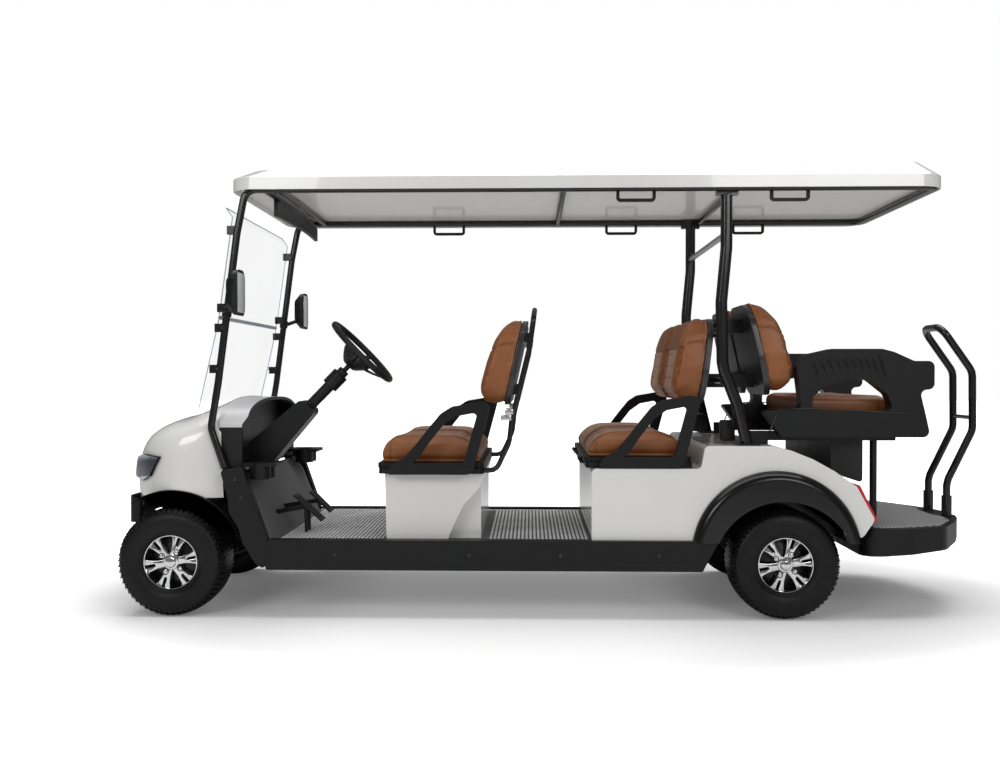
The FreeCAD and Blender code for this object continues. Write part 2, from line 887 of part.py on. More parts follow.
def dash_outline(inset):
    """Half-round hood over straight cheeks, seen along the cart."""
    half = dash_half_width - inset
    crown = dash_crown_z - inset
    side = dash_side_z
    rise = crown - side
    arch_shares = ((1.0, 0.0), (0.94, 0.42), (0.78, 0.72), (0.5, 0.92), (0.0, 1.0))
    left = [vec(0, half * w, side + rise * h) for w, h in arch_shares]
    right = [vec(0, -half * w, side + rise * h) for w, h in reversed(arch_shares[:-1])]
    curve = Part.BSplineCurve()
    curve.interpolate(left + right)
    return curve, half


def dash_form(inset, low, x_from, x_to):
    curve, half = dash_outline(inset)
    edges = [
        curve.toShape(),
        Part.makeLine(vec(0, -half, dash_side_z), vec(0, -half, low)),
        Part.makeLine(vec(0, -half, low), vec(0, half, low)),
        Part.makeLine(vec(0, half, low), vec(0, half, dash_side_z)),
    ]
    solid = Part.Face(Part.Wire(edges)).extrude(vec(x_to - x_from, 0, 0))
    solid.translate(vec(x_from, 0, 0))
    return solid


def dash(cowl_space):
    front = cowl_rear_x + cowl_wall
    body = dash_form(0.0, dash_low_z, dash_rear_x, front)
    bin_space = dash_form(dash_wall, dash_bin_floor_z, dash_rear_x - overrun, front - dash_bin_back)
    lean = slab_y([
        (dash_rear_x - overrun, dash_low_z - overrun),
        (dash_cheek_rear_x, dash_low_z - overrun),
        (dash_cheek_rear_x, dash_side_z),
        (dash_rear_x - overrun, dash_side_z + dash_hood_lean),
    ], -body_half_width, body_half_width)
    foot = slab_y([
        (front + overrun, dash_low_z - overrun),
        (dash_cheek_rear_x, dash_low_z - overrun),
        (front + overrun, dash_low_z + dash_toe_rise),
    ], -body_half_width, body_half_width)
    hood = cowl_solid(0.0)
    return trimmed(body, [bin_space, lean, foot, hood])


def cup_pod(side):
    """A shelf with two cup wells, hung below the dash at one side."""
    y_from = cup_pod_near_y
    y_to = cup_pod_far_y
    top = slab_z([
        (cup_rear_x, y_from), (dash_cheek_rear_x, y_from), (dash_cheek_rear_x, y_to), (cup_rear_x, y_to),
    ], cup_top_z - cup_lip, cup_top_z, cup_lip)
    pieces = [top]
    wells = []
    middle_x = (cup_rear_x + dash_cheek_rear_x) / 2
    for end in (-1, 1):
        y = (y_from + y_to) / 2 + end * (cup_radius + cup_wall / 2)
        pieces.append(Part.makeCylinder(
            cup_radius + cup_wall, cup_depth + cup_wall, vec(middle_x, y, cup_top_z - cup_depth - cup_wall)
        ))
        foot = vec(middle_x, y, cup_top_z - cup_depth)
        wells.append(Part.makeCylinder(cup_radius, cup_depth + overrun, foot))
    pod = trimmed(fused(pieces), wells)
    return pod if side > 0 else mirrored(pod)


# Quarter covers: dark mouldings from the dash corner down to the sill, behind the front wheel

quarter_in = 18.0
quarter_round = 15.0
quarter_inner_y = body_half_width - quarter_in
quarter_outer_y = sill_outer_y
quarter_front_x = 1409.0
quarter_top_z = 638.0
front_liner_in = 232.5
front_liner_inner_y = wheel_offset_y - front_liner_in
front_liner_wall = 4.0
front_liner_low_z = 330.0
front_liner_front_x = 1800.0
quarter_shares = (
    (1.0, 0.965), (0.523, 1.0), (0.382, 0.797), (0.0, 0.298), (0.04, 0.0),
    (0.246, 0.055), (0.528, 0.266), (0.598, 0.393), (0.809, 0.554), (0.844, 0.716),
)


def front_liner():
    """The dark shell over a front tyre, from the toe board's corner to the nose lip."""
    across = [vec(front_axle_x, y, axle_z) for y in (front_liner_inner_y, quarter_inner_y)]
    outer_radius = arch_radius - fit_gap
    shell = rod(across[0], across[1], outer_radius)
    hollow = rod(
        across[0] - vec(0, overrun, 0), across[1] + vec(0, overrun, 0), outer_radius - front_liner_wall,
    )
    reach = arch_radius + overrun
    below = box(
        front_axle_x - reach, front_axle_x + reach, 0, quarter_outer_y, axle_z - reach, front_liner_low_z,
    )
    ahead = box(front_liner_front_x, front_axle_x + reach, 0, quarter_outer_y, 0, axle_z + reach)
    return trimmed(shell, [hollow, below, ahead])


def quarter_cover(blockers):
    points = placed(quarter_shares, floor_front_x, quarter_front_x, sill_bottom_z, quarter_top_z)
    outer = slab_y(points, quarter_inner_y, quarter_outer_y, quarter_round)
    return trimmed(outer, blockers)


# Steering column, its cover and the wheel

driver_y = 270.0
wheel_centre_x = 858.0
wheel_centre_z = 1128.0
wheel_lean_deg = 44.3
wheel_ring_radius = 172.0
wheel_grip_radius = 14.0
wheel_grip_sides = 8
wheel_dish = 62.0
wheel_hub_radius = 44.0
wheel_hub_height = 40.0
wheel_hub_foot_share = 0.7
wheel_spoke_width = 34.0
wheel_spoke_thickness = 12.0
wheel_spoke_count = 3
column_radius = 24.0
column_length = 330.0
column_shaft_radius = 11.0
column_shaft_show = 34.0
column_collar_length = 96.0
column_collar_radius = 36.0
column_cover_near_y = 205.0
column_cover_far_y = 335.0
column_cover_rear_x = 1058.0
column_cover_front_x = 1398.0
column_cover_low_z = 626.0
column_cover_top_z = 917.0
column_cover_shares = (
    (0.194, 1.0), (0.0, 0.82), (0.565, 0.035), (0.8, 0.0), (1.0, 0.128), (0.841, 0.37),
)


def wheel_axis():
    """Direction from the hub up the column towards the driver."""
    lean = math.radians(wheel_lean_deg)
    return vec(-math.sin(lean), 0, math.cos(lean))


def hub_base():
    centre = vec(wheel_centre_x, driver_y, wheel_centre_z)
    return centre.sub(wheel_axis() * (wheel_dish + wheel_hub_height / 2))


def upright_to_column(shape):
    """Moves a piece made about Z, with its ring at Z = 0, to the steering wheel's place."""
    turned = shape.copy()
    centre = vec(wheel_centre_x, driver_y, wheel_centre_z)
    turned.Placement = FreeCAD.Placement(centre, FreeCAD.Rotation(vec(0, 0, 1), wheel_axis()))
    return turned


def steering_wheel():
    section = []
    for i in range(wheel_grip_sides):
        turn = math.tau * (i + 0.5) / wheel_grip_sides
        section.append((
            wheel_ring_radius + wheel_grip_radius * math.cos(turn), wheel_grip_radius * math.sin(turn),
        ))
    ring = turned(section, wheel_sides)
    low = -wheel_dish - wheel_hub_height / 2
    high = wheel_hub_height / 2 - wheel_dish
    foot_radius = wheel_hub_radius * wheel_hub_foot_share
    hub = turned([(0, low), (foot_radius, low), (wheel_hub_radius, high), (0, high)], hub_sides)
    spokes = []
    for i in range(wheel_spoke_count):
        bar = slab_y([
            (0, low + wheel_hub_height / 2 - wheel_spoke_thickness / 2),
            (wheel_ring_radius, -wheel_spoke_thickness / 2),
            (wheel_ring_radius, wheel_spoke_thickness / 2),
            (0, low + wheel_hub_height / 2 + wheel_spoke_thickness / 2),
        ], -wheel_spoke_width / 2, wheel_spoke_width / 2)
        bar.rotate(vec(0, 0, 0), vec(0, 0, 1), 180 + 360 * i / wheel_spoke_count)
        spokes.append(bar)
    whole = fused([ring, hub] + spokes)
    bore = Part.makeCylinder(column_shaft_radius + fit_gap, wheel_hub_height / 2, vec(0, 0, low))
    return upright_to_column(whole.cut(bore))


def steering_column():
    base = hub_base()
    axis = wheel_axis()
    shaft = rod(base.sub(axis * column_shaft_show), base.add(axis * (wheel_hub_height / 2 - fit_gap)),
                column_shaft_radius)
    collar = bar(base.sub(axis * column_length), base.sub(axis * column_shaft_show), column_radius)
    clamp = bar(
        base.sub(axis * (column_shaft_show + column_collar_length)),
        base.sub(axis * (column_shaft_show + column_radius)),
        column_collar_radius,
    )
    cover = slab_y(
        placed(column_cover_shares, column_cover_rear_x, column_cover_front_x,
               column_cover_low_z, column_cover_top_z),
        column_cover_near_y, column_cover_far_y, column_radius,
    )
    return fused([shaft, collar, clamp, cover])


# Pedals: two plates on bent arms that rise from the toe board

pedal_width = 84.0
pedal_thickness = 9.0
pedal_slot = 14.0
pedal_lever = 20.0
brake_y = 270.0
brake_low = (1032.0, 377.0)
brake_high = (1158.0, 491.0)
accelerator_y = 100.0
accelerator_low = (1024.0, 394.0)
accelerator_high = (1121.0, 489.0)


def pedal(y, low, high, toe):
    """A slotted plate that rises forward, on a flat lever from the toe board."""
    rise = vec(high[0] - low[0], 0, high[1] - low[1])
    length = rise.Length
    half = pedal_width / 2
    plate = box(0, length, -half, half, -pedal_thickness, 0)
    for side in (-1, 1):
        middle = side * half / 2
        plate = plate.cut(box(
            pedal_slot, length - pedal_slot, middle - pedal_slot / 2, middle + pedal_slot / 2,
            -pedal_thickness - overrun, overrun,
        ))
    plate.rotate(vec(0, 0, 0), vec(0, 1, 0), -math.degrees(math.atan2(rise.z, rise.x)))
    plate.translate(vec(low[0], y, low[1]))
    middle_x = (low[0] + high[0]) / 2
    middle_z = (low[1] + high[1]) / 2
    lever = slab_y([
        (middle_x, middle_z - pedal_thickness / 2), (middle_x + pedal_lever, middle_z + pedal_lever / 2),
        (toe_knee_x - pedal_lever, middle_z - pedal_lever),
        (toe_knee_x - pedal_lever, middle_z - 2 * pedal_lever),
        (middle_x + pedal_lever, middle_z - pedal_lever / 2),
    ], y - pedal_slot / 2, y + pedal_slot / 2)
    whole = fused([plate, lever]).cut(toe)
    return max(whole.Solids, key=lambda solid: solid.Volume)


# Canopy frame: bent side tubes that are front pillars and roof rails in one, with cross bars

rail_in = 40.0
rail_side_y = body_half_width - rail_in
rail_radius = 15.0
cross_bar_radius = 12.0
pillar_bend = 55.0
canopy_rear_x = -1588.0
canopy_cross_shares = (0.03, 0.455, 0.71)
pillar_path_shares = (
    (1.0, 0.0), (1.02, 0.11), (1.0, 0.2185), (0.875, 0.62), (0.751, 0.833), (0.71, 1.0),
)
pillar_foot_x = 1408.0
pillar_foot_z = 628.0
pillar_top_x = 1315.0
pillar_knee_x = 1466.0
pillar_knee_z = 798.0
pillar_shoulder_x = 1435.0
pillar_shoulder_z = 985.0
pillar_neck_x = 1352.0
pillar_neck_z = 1625.0
mirror_rail_x = 1235.0
clamp_heights_z = (1050.0, 1225.0, 1310.0, 1640.0)
clamp_height = 36.0
clamp_width = 26.0


def side_tube():
    z = rail_top_z - rail_radius
    y = rail_side_y
    points = [
        (pillar_foot_x, y, pillar_foot_z),
        (pillar_knee_x, y, pillar_knee_z),
        (pillar_shoulder_x, y, pillar_shoulder_z),
        (pillar_neck_x, y, pillar_neck_z),
        (pillar_top_x, y, z),
        (canopy_rear_x, y, z),
        (canopy_rear_x, 0, z),
    ]
    return tube(points, rail_radius, pillar_bend)


def pane_clamp(z):
    """A block from a pillar forward round the edge of a windshield pane."""
    x = pillar_x_at(z)
    reach = pane_mid_x - pillar_x_at(pane_mid_z) + pane_thickness * 2
    y = pane_half_width
    return box(
        x, x + reach, y - clamp_width / 2, y + clamp_width / 2, z - clamp_height / 2, z + clamp_height / 2,
    )


def canopy_frame():
    z = rail_top_z - rail_radius
    pieces = [side_tube(), mirrored(side_tube())]
    for clamp_z in clamp_heights_z:
        pieces += [pane_clamp(clamp_z), mirrored(pane_clamp(clamp_z))]
    front = pillar_top_x - pillar_bend
    crosses = [mirror_rail_x]
    for share in canopy_cross_shares:
        crosses.append(front + (canopy_rear_x - front) * share)
    for x in crosses:
        pieces.append(bar(vec(x, -rail_side_y, z), vec(x, rail_side_y, z), cross_bar_radius))
    return fused(pieces)


# Windshield: two clear panes in front of the pillars, the lower one curled forward over the cowl

pane_in = 10.0
pane_half_width = rail_side_y - pane_in
pane_thickness = 5.0
pane_top_x = 1373.0
pane_top_z = 1698.0
pane_mid_x = 1433.0
pane_mid_z = 1269.0
pane_lip_x = 1402.0
pane_lip_z = 1738.0
pane_gap = 4.0
pane_low_points_shares = ((0.0, 1.0), (0.32, 0.49), (0.71, 0.155), (1.0, -0.1))
pane_foot_x = 1528.0
pane_foot_z = 862.0


def pane_strip(points):
    """A sheet across the cart along a line of (x, z) points, thickened forward."""
    front = [(x + pane_thickness, z) for x, z in reversed(points)]
    return slab_y(points + front, -pane_half_width, pane_half_width)


def upper_pane():
    return pane_strip([
        (pane_mid_x, pane_mid_z + pane_gap), (pane_top_x, pane_top_z), (pane_lip_x, pane_lip_z),
    ])


def lower_pane(cowl_form):
    points = [
        (pane_mid_x + (pane_foot_x - pane_mid_x) * a, pane_foot_z + (pane_mid_z - pane_gap - pane_foot_z) * b)
        for a, b in pane_low_points_shares
    ]
    return pane_strip(points).cut(cowl_form)


# Roof: a hollow moulding with a rounded skirt and a raised, slightly climbing deck

roof_front_x = 1372.0
roof_rear_x = -1612.0
roof_out = 74.0
roof_half_width = rail_side_y + roof_out
roof_skirt_low_z = 1800.0
roof_skirt_high_z = 1852.0
roof_deck_front_z = 1896.0
roof_deck_rear_z = 1921.0
roof_deck_inset = 58.0
roof_deck_in = 15.0
roof_deck_half_width = rail_side_y - roof_deck_in
roof_corner = 110.0
roof_wall = 6.0


def roof_plan(x_from, x_to, half, z_rear, z_front, radius):
    return outline_wire([
        vec(x_from, -half, z_rear), vec(x_to, -half, z_front),
        vec(x_to, half, z_front), vec(x_from, half, z_rear),
    ], radius)


def roof_form(inset, low):
    skirt_low = roof_plan(
        roof_rear_x + inset, roof_front_x - inset, roof_half_width - inset, low, low, roof_corner - inset,
    )
    skirt = Part.Face(skirt_low).extrude(vec(0, 0, roof_skirt_high_z - inset - low))
    base = roof_plan(
        roof_rear_x + inset, roof_front_x - inset, roof_half_width - inset,
        roof_skirt_high_z - inset, roof_skirt_high_z - inset, roof_corner - inset,
    )
    deck = roof_plan(
        roof_rear_x + roof_deck_inset, roof_front_x - roof_deck_inset, roof_deck_half_width,
        roof_deck_rear_z - inset, roof_deck_front_z - inset, roof_corner - inset,
    )
    crown = Part.makeLoft([base, deck], True, True)
    return fused([skirt, crown])


def roof():
    inner = roof_form(roof_wall, roof_skirt_low_z - overrun)
    whole = roof_form(0.0, roof_skirt_low_z).cut(inner)
    return whole.fuse(roof_liner()).removeSplitter()


def roof_liner():
    """The level inner skin that lies on the canopy rails."""
    plan = roof_plan(
        roof_rear_x + roof_wall, roof_front_x - roof_wall, roof_half_width - roof_wall,
        rail_top_z, rail_top_z, roof_corner - roof_wall,
    )
    return Part.Face(plan).extrude(vec(0, 0, roof_wall / 2))


# Roof handles: flat loops below the rails, two on the driver's side and three on the other

handle_length = 165.0
handle_width = 18.0
handle_thickness = 13.0
handle_drop = 44.0
handle_bend = 18.0
handle_x_left = (-338.0, -980.0)
handle_x_right = (528.0, -365.0, -1018.0)


def roof_handle(x, side, rails):
    y = side * rail_side_y
    top = rail_top_z - rail_radius
    low = rail_top_z - 2 * rail_radius - handle_drop
    half = handle_length / 2
    outline = [(x - half, top), (x - half, low), (x + half, low), (x + half, top)]
    inner_half = half - handle_thickness
    inner = [
        (x - inner_half, top + overrun), (x - inner_half, low + handle_thickness),
        (x + inner_half, low + handle_thickness), (x + inner_half, top + overrun),
    ]
    loop = slab_y(outline, y - handle_width / 2, y + handle_width / 2, handle_bend)
    hollow = slab_y(inner, y - handle_width, y + handle_width, handle_bend - handle_thickness)
    return trimmed(loop, [hollow, rails])


# Mirrors: two door mirrors on stalks and one wide bar mirror under the canopy

mirror_height = 190.0
mirror_width = 128.0
mirror_depth = 52.0
mirror_x = 1330.0
mirror_out = 116.0
mirror_y = rail_side_y + mirror_out
mirror_z = 1364.0
mirror_stalk_z = 1290.0
mirror_stalk_radius = 9.0
mirror_stalk_bend = 27.0
mirror_round = 40.0
mirror_bar_in = 90.0
mirror_bar_half = rail_side_y - mirror_bar_in
mirror_bar_height = 64.0
mirror_bar_thickness = 16.0
mirror_bar_top_z = 1776.0
mirror_bar_bow = 36.0
mirror_bracket_y = 300.0
mirror_bracket_width = 26.0


def pillar_x_at(z):
    share = (z - pillar_shoulder_z) / (pillar_neck_z - pillar_shoulder_z)
    return pillar_shoulder_x + (pillar_neck_x - pillar_shoulder_x) * share


def side_mirror(rails):
    half_w = mirror_width / 2
    half_h = mirror_height / 2
    sections = []
    for depth_share, size_share in ((0.0, 1.0), (0.45, 0.96), (1.0, 0.62)):
        x = mirror_x - mirror_depth / 2 + mirror_depth * depth_share
        w = half_w * size_share
        h = half_h * size_share
        sections.append(outline_wire([
            vec(x, mirror_y - w, mirror_z - h), vec(x, mirror_y + w, mirror_z - h),
            vec(x, mirror_y + w, mirror_z + h), vec(x, mirror_y - w, mirror_z + h),
        ], mirror_round * size_share))
    head = Part.makeLoft(sections, True, True)
    stalk = tube([
        (pillar_x_at(mirror_stalk_z), rail_side_y, mirror_stalk_z),
        (pillar_x_at(mirror_stalk_z), mirror_y - half_w, mirror_stalk_z),
        (mirror_x, mirror_y - half_w / 2, mirror_z - half_h / 2),
    ], mirror_stalk_radius, mirror_stalk_bend)
    grip = mirror_stalk_radius * 2
    collar = bar(
        vec(pillar_x_at(mirror_stalk_z - grip), rail_side_y, mirror_stalk_z - grip),
        vec(pillar_x_at(mirror_stalk_z + grip), rail_side_y, mirror_stalk_z + grip),
        rail_radius + mirror_stalk_radius / 2,
    )
    return fused([head, stalk, collar]).cut(rails)


def mirror_bar(rails):
    """A shallow bowed strip, with two hangers up to the cross bar."""
    x = mirror_rail_x - mirror_bar_bow
    thick = mirror_bar_thickness
    low = mirror_bar_top_z - mirror_bar_height
    back = Part.Arc(
        vec(x, -mirror_bar_half, low), vec(x - mirror_bar_bow / 2, 0, low), vec(x, mirror_bar_half, low),
    ).toShape()
    front = Part.Arc(
        vec(x + thick, mirror_bar_half, low),
        vec(x + thick - mirror_bar_bow / 2, 0, low),
        vec(x + thick, -mirror_bar_half, low),
    ).toShape()
    wire = Part.Wire([
        back,
        Part.makeLine(vec(x, mirror_bar_half, low), vec(x + thick, mirror_bar_half, low)),
        front,
        Part.makeLine(vec(x + thick, -mirror_bar_half, low), vec(x, -mirror_bar_half, low)),
    ])
    strip = Part.Face(wire).extrude(vec(0, 0, mirror_bar_height))
    z = rail_top_z - rail_radius
    hangers = [
        slab_y([
            (x - mirror_bar_bow / 4, mirror_bar_top_z - mirror_bar_height / 2),
            (x + thick, mirror_bar_top_z - mirror_bar_height / 2),
            (mirror_rail_x + thick, z),
            (mirror_rail_x - thick / 2, z),
        ], y - mirror_bracket_width / 2, y + mirror_bracket_width / 2)
        for y in (-mirror_bracket_y, mirror_bracket_y)
    ]
    return fused([strip] + hangers).cut(rails)


# Front seat pedestal: an open-topped box whose rear lower corner is cut in by a curve

pedestal_front_x = 726.0
pedestal_rear_x = 303.0
pedestal_in = 65.0
pedestal_lip = 15.0
pedestal_half_width = body_half_width - pedestal_in
pedestal_edge = 65.0
pedestal_inner_half_width = pedestal_half_width - pedestal_edge
pedestal_top_z = 605.0
pedestal_side_shares = (
    (1.0, 1.0), (0.0, 1.0), (0.035, 0.809), (0.208, 0.521), (0.312, 0.206), (0.364, 0.0), (0.983, 0.0),
)
pedestal_round = 30.0


def pedestal_form(inset, low):
    side = placed(
        pedestal_side_shares, pedestal_rear_x + inset, pedestal_front_x - inset, low, pedestal_top_z,
    )
    wide = slab_y(side, -pedestal_half_width + inset, pedestal_half_width - inset, 0.0)
    narrow = box(
        pedestal_rear_x + inset + pedestal_lip, pedestal_front_x - inset - pedestal_lip,
        -pedestal_inner_half_width + inset, pedestal_inner_half_width - inset, low, pedestal_top_z,
    )
    return fused([wide, narrow])


def front_pedestal():
    space = pedestal_form(panel_wall, floor_top_z - overrun)
    space = space.fuse(space.translated(vec(0, 0, overrun * 2)))
    return pedestal_form(0.0, floor_top_z).cut(space)


battery_half_width = 330.0
battery_front_x = 670.0
battery_rear_x = 370.0
battery_height = 245.0


def battery_pack():
    return box(
        battery_rear_x, battery_front_x, -battery_half_width, battery_half_width,
        floor_top_z, floor_top_z + battery_height,
    )


# Bench seats: a fixed ring, a lid that turns up on its front edge, and the cushion on the lid

seat_ring_height = 22.0
ring_drop_share = 1 / 3
seat_ring_width = 26.0
seat_ring_side = 22.0
lid_thickness = 22.0
front_seat_front_x = 757.0
front_seat_rear_x = 303.0
front_cushion_height = 113.0
middle_seat_front_x = -123.0
middle_seat_rear_x = -578.0
middle_cushion_height = 103.0
hinge_radius = 8.0
hinge_pin_radius = 4.0
hinge_reach = 11.0
hinge_set = 6.0
hinge_width = 34.0
hinge_side_gap = 2.0
hinge_eye_y = (-300.0, 300.0)
front_cushion_shares = (
    (1.0, 0.0), (1.0, 0.40), (0.963, 0.74), (0.888, 0.92), (0.604, 1.0),
    (0.227, 0.93), (0.057, 0.66), (0.0, 0.40), (0.0, 0.0),
)
middle_cushion_shares = (
    (1.0, 0.0), (1.0, 0.28), (0.946, 0.62), (0.882, 0.80), (0.764, 0.935), (0.489, 1.0),
    (0.309, 0.967), (0.127, 0.77), (0.036, 0.52), (0.0, 0.24), (0.0, 0.0),
)


def hinge_eyes(edge_x, axis_x, z):
    """Eyes on a lid that turn on the hinge pin, with straps onto the lid."""
    pieces = []
    for y in hinge_eye_y:
        low = y - hinge_width / 2
        eye = bar(vec(axis_x, low, z), vec(axis_x, low + hinge_width, z), hinge_radius)
        strap = box(
            min(edge_x, axis_x) - overrun * (edge_x < axis_x), max(edge_x, axis_x) + overrun * (edge_x > axis_x),
            low, low + hinge_width, z, z + hinge_radius,
        )
        pieces.append(fused([eye, strap]))
    return pieces


def hinge_lugs(edge_x, axis_x, z, foot_x):
    """Lugs on the fixed side, with the pin that runs through the eyes."""
    span = hinge_eye_y[-1] + hinge_width * 2
    pieces = [rod(vec(axis_x, -span, z), vec(axis_x, span, z), hinge_pin_radius)]
    for y in hinge_eye_y:
        for side in (-1, 1):
            low = y - hinge_width / 2 + side * (hinge_width + hinge_side_gap)
            barrel = bar(vec(axis_x, low, z), vec(axis_x, low + hinge_width, z), hinge_radius)
            foot = box(
                min(foot_x, axis_x), max(foot_x, axis_x), low, low + hinge_width,
                z - hinge_radius * 2, z - hinge_radius / 2,
            )
            pieces.append(fused([barrel, foot]))
    return pieces


def hinge_bore(axis_x, z):
    span = seat_half_width
    return rod(vec(axis_x, -span, z), vec(axis_x, span, z), hinge_pin_radius + fit_gap)


def seat_ring(rear_x, front_x, base_z):
    """The fixed ring, its hinge lugs along the front edge."""
    ring = ring_plate(rear_x, front_x - hinge_set, base_z)
    low = base_z + seat_ring_height + fit_gap
    lugs = hinge_lugs(front_x, front_x + hinge_reach, low, front_x - 2 * hinge_set)
    return fused([ring] + lugs)


def ring_plate(rear_x, front_x, base_z):
    top = base_z + seat_ring_height
    half = seat_half_width + seat_ring_side
    outer = slab_z([
        (rear_x, -half), (front_x, -half), (front_x, half), (rear_x, half),
    ], base_z, top, seat_ring_width)
    rim_in = seat_ring_width * 2
    inner = slab_z([
        (rear_x + rim_in, -half + rim_in), (front_x - rim_in, -half + rim_in),
        (front_x - rim_in, half - rim_in), (rear_x + rim_in, half - rim_in),
    ], base_z - overrun, top + overrun, seat_ring_width)
    return outer.cut(inner)


def seat_lid(rear_x, front_x, base_z):
    low = base_z + seat_ring_height + fit_gap
    half = seat_half_width
    board = slab_z([
        (rear_x, -half), (front_x, -half), (front_x, half), (rear_x, half),
    ], low, low + lid_thickness, seat_ring_width)
    axis_x = front_x + hinge_reach
    eyes = hinge_eyes(front_x, axis_x, low)
    return fused([board] + eyes).cut(hinge_bore(axis_x, low))


def bench_cushion(rear_x, front_x, base_z, height, shares):
    """One crowned bench pad over the full width, dipped a little at each of its two places."""
    low = base_z + seat_ring_height + lid_thickness + 2 * fit_gap
    inset = seat_ring_width / 2
    points = placed(shares, rear_x + inset / 2, front_x - inset / 4, low, low + height)
    half = seat_half_width - inset
    along = slab_y(points, -half, half, inset)
    drop = height * ring_drop_share
    front = slab_x([
        (-half, low), (half, low), (half, low + height - drop), (half - drop, low + height),
        (-half + drop, low + height), (-half, low + height - drop),
    ], rear_x - overrun, front_x + overrun, drop)
    return along.common(front)


# Armrests: closed loops of moulding on the sides of the seat rings

arm_thickness = 40.0
arm_wall = 34.0
arm_top_height = 306.0
front_arm_front_x = 715.0
front_arm_rear_x = 275.0
middle_arm_front_x = -175.0
middle_arm_rear_x = -605.0
arm_shares = (
    (1.0, 0.0), (0.955, 0.13), (0.82, 0.235), (0.711, 0.41), (0.577, 0.657), (0.47, 0.841),
    (0.366, 0.935), (0.095, 1.0), (0.03, 0.985), (0.0, 0.92), (0.17, 0.0),
)
arm_hole_shares = (
    (0.76, 0.16), (0.70, 0.19), (0.60, 0.41), (0.45, 0.68),
    (0.33, 0.80), (0.16, 0.845), (0.125, 0.82), (0.25, 0.16),
)


def armrest(rear_x, front_x, base_z):
    arm_inner_y = seat_half_width + seat_ring_side
    arm_outer_y = arm_inner_y + arm_thickness
    outer = slab_y(placed(arm_shares, rear_x, front_x, base_z, base_z + arm_top_height),
                   arm_inner_y, arm_outer_y, arm_wall)
    hole = slab_y(placed(arm_hole_shares, rear_x, front_x, base_z, base_z + arm_top_height),
                  arm_inner_y - overrun, arm_outer_y + overrun, arm_wall / 2)
    return outer.cut(hole)


# Seat backs: two bucket pads a row, each with a moulded shell behind it

back_inner_y = 14.0
back_in = 14.0
back_outer_y = seat_half_width - back_in
back_corner = 120.0
back_edge_share = 0.25
shell_thickness = 26.0
shell_reach = 208.0
front_back_rear_x = 138.0
front_back_front_x = 320.0
front_back_low_z = 884.0
front_back_high_z = 1284.0
middle_back_rear_x = -660.0
middle_back_front_x = -508.0
middle_back_low_z = 892.0
middle_back_high_z = 1290.0
rear_back_rear_x = -1011.0
rear_back_front_x = -833.0
rear_back_low_z = 938.0
rear_back_high_z = 1351.0
front_back_shares = (
    (0.143, 1.0), (0.341, 0.925), (0.626, 0.725), (0.83, 0.468), (0.967, 0.23), (1.0, 0.083),
    (0.907, 0.02), (0.582, 0.0), (0.445, 0.028), (0.0, 0.953),
)
middle_back_shares = (
    (0.336, 1.0), (0.586, 0.907), (0.776, 0.678), (0.914, 0.364), (1.0, 0.155),
    (0.855, 0.04), (0.579, 0.0), (0.329, 0.034), (0.0, 0.958),
)
rear_back_shares = (
    (1.0, 1.0), (0.713, 0.955), (0.416, 0.80), (0.219, 0.622), (0.0, 0.262),
    (0.0, 0.10), (0.213, 0.01), (0.483, 0.0), (0.983, 0.959),
)


def back_front_view(low, high, inset, x_from, x_to):
    """The pad's outline from in front: wide shoulders that narrow a little to the foot."""
    waist = back_corner * back_edge_share
    return slab_x([
        (back_inner_y + inset + waist, low), (back_outer_y - inset - waist, low),
        (back_outer_y - inset, high - back_corner * 2), (back_outer_y - inset - waist, high - inset),
        (back_inner_y + inset + waist, high - inset), (back_inner_y + inset, high - back_corner * 2),
    ], x_from - overrun, x_to + overrun, back_corner)


def seat_back(shares, rear_x, front_x, low, high):
    points = placed(shares, rear_x, front_x, low, high)
    along = slab_y(points, back_inner_y, back_outer_y, back_corner * back_edge_share)
    return pair(along.common(back_front_view(low, high, 0.0, rear_x, front_x)))


def back_shell(shares, rear_x, front_x, low, high, thickness):
    """A board on the straight side of a pad; a negative thickness puts it behind, towards -X."""
    (x_low, z_low), (x_high, z_high) = placed(shares[-2:], rear_x, front_x, low, high)
    start = math.copysign(fit_gap, thickness)
    points = [
        (x_low + start, z_low), (x_high + start, z_high),
        (x_high + thickness, z_high), (x_low + thickness, z_low),
    ]
    along = slab_y(points, back_inner_y, back_outer_y)
    x_from = min(x_low, x_high) - abs(thickness)
    x_to = max(x_low, x_high) + abs(thickness)
    return pair(along.common(back_front_view(z_low, z_high, panel_wall, x_from, x_to)))


# Frame behind the front backs: a bent hoop that is also the grab rail of the middle row

hoop_in = 40.0
hoop_y = seat_half_width - hoop_in
hoop_radius = 11.0
hoop_bend = 60.0
hoop_top_x = 87.0
hoop_top_z = 1305.0
hoop_middle_x = 112.0
hoop_middle_z = 1130.0
hoop_low_x = 186.0
hoop_low_z = 828.0
hoop_turn_x = 252.0
hoop_knee_x = 196.0
hoop_knee_z = 735.0
hoop_bar_height = 40.0
front_bar_z = (960.0, 1185.0)


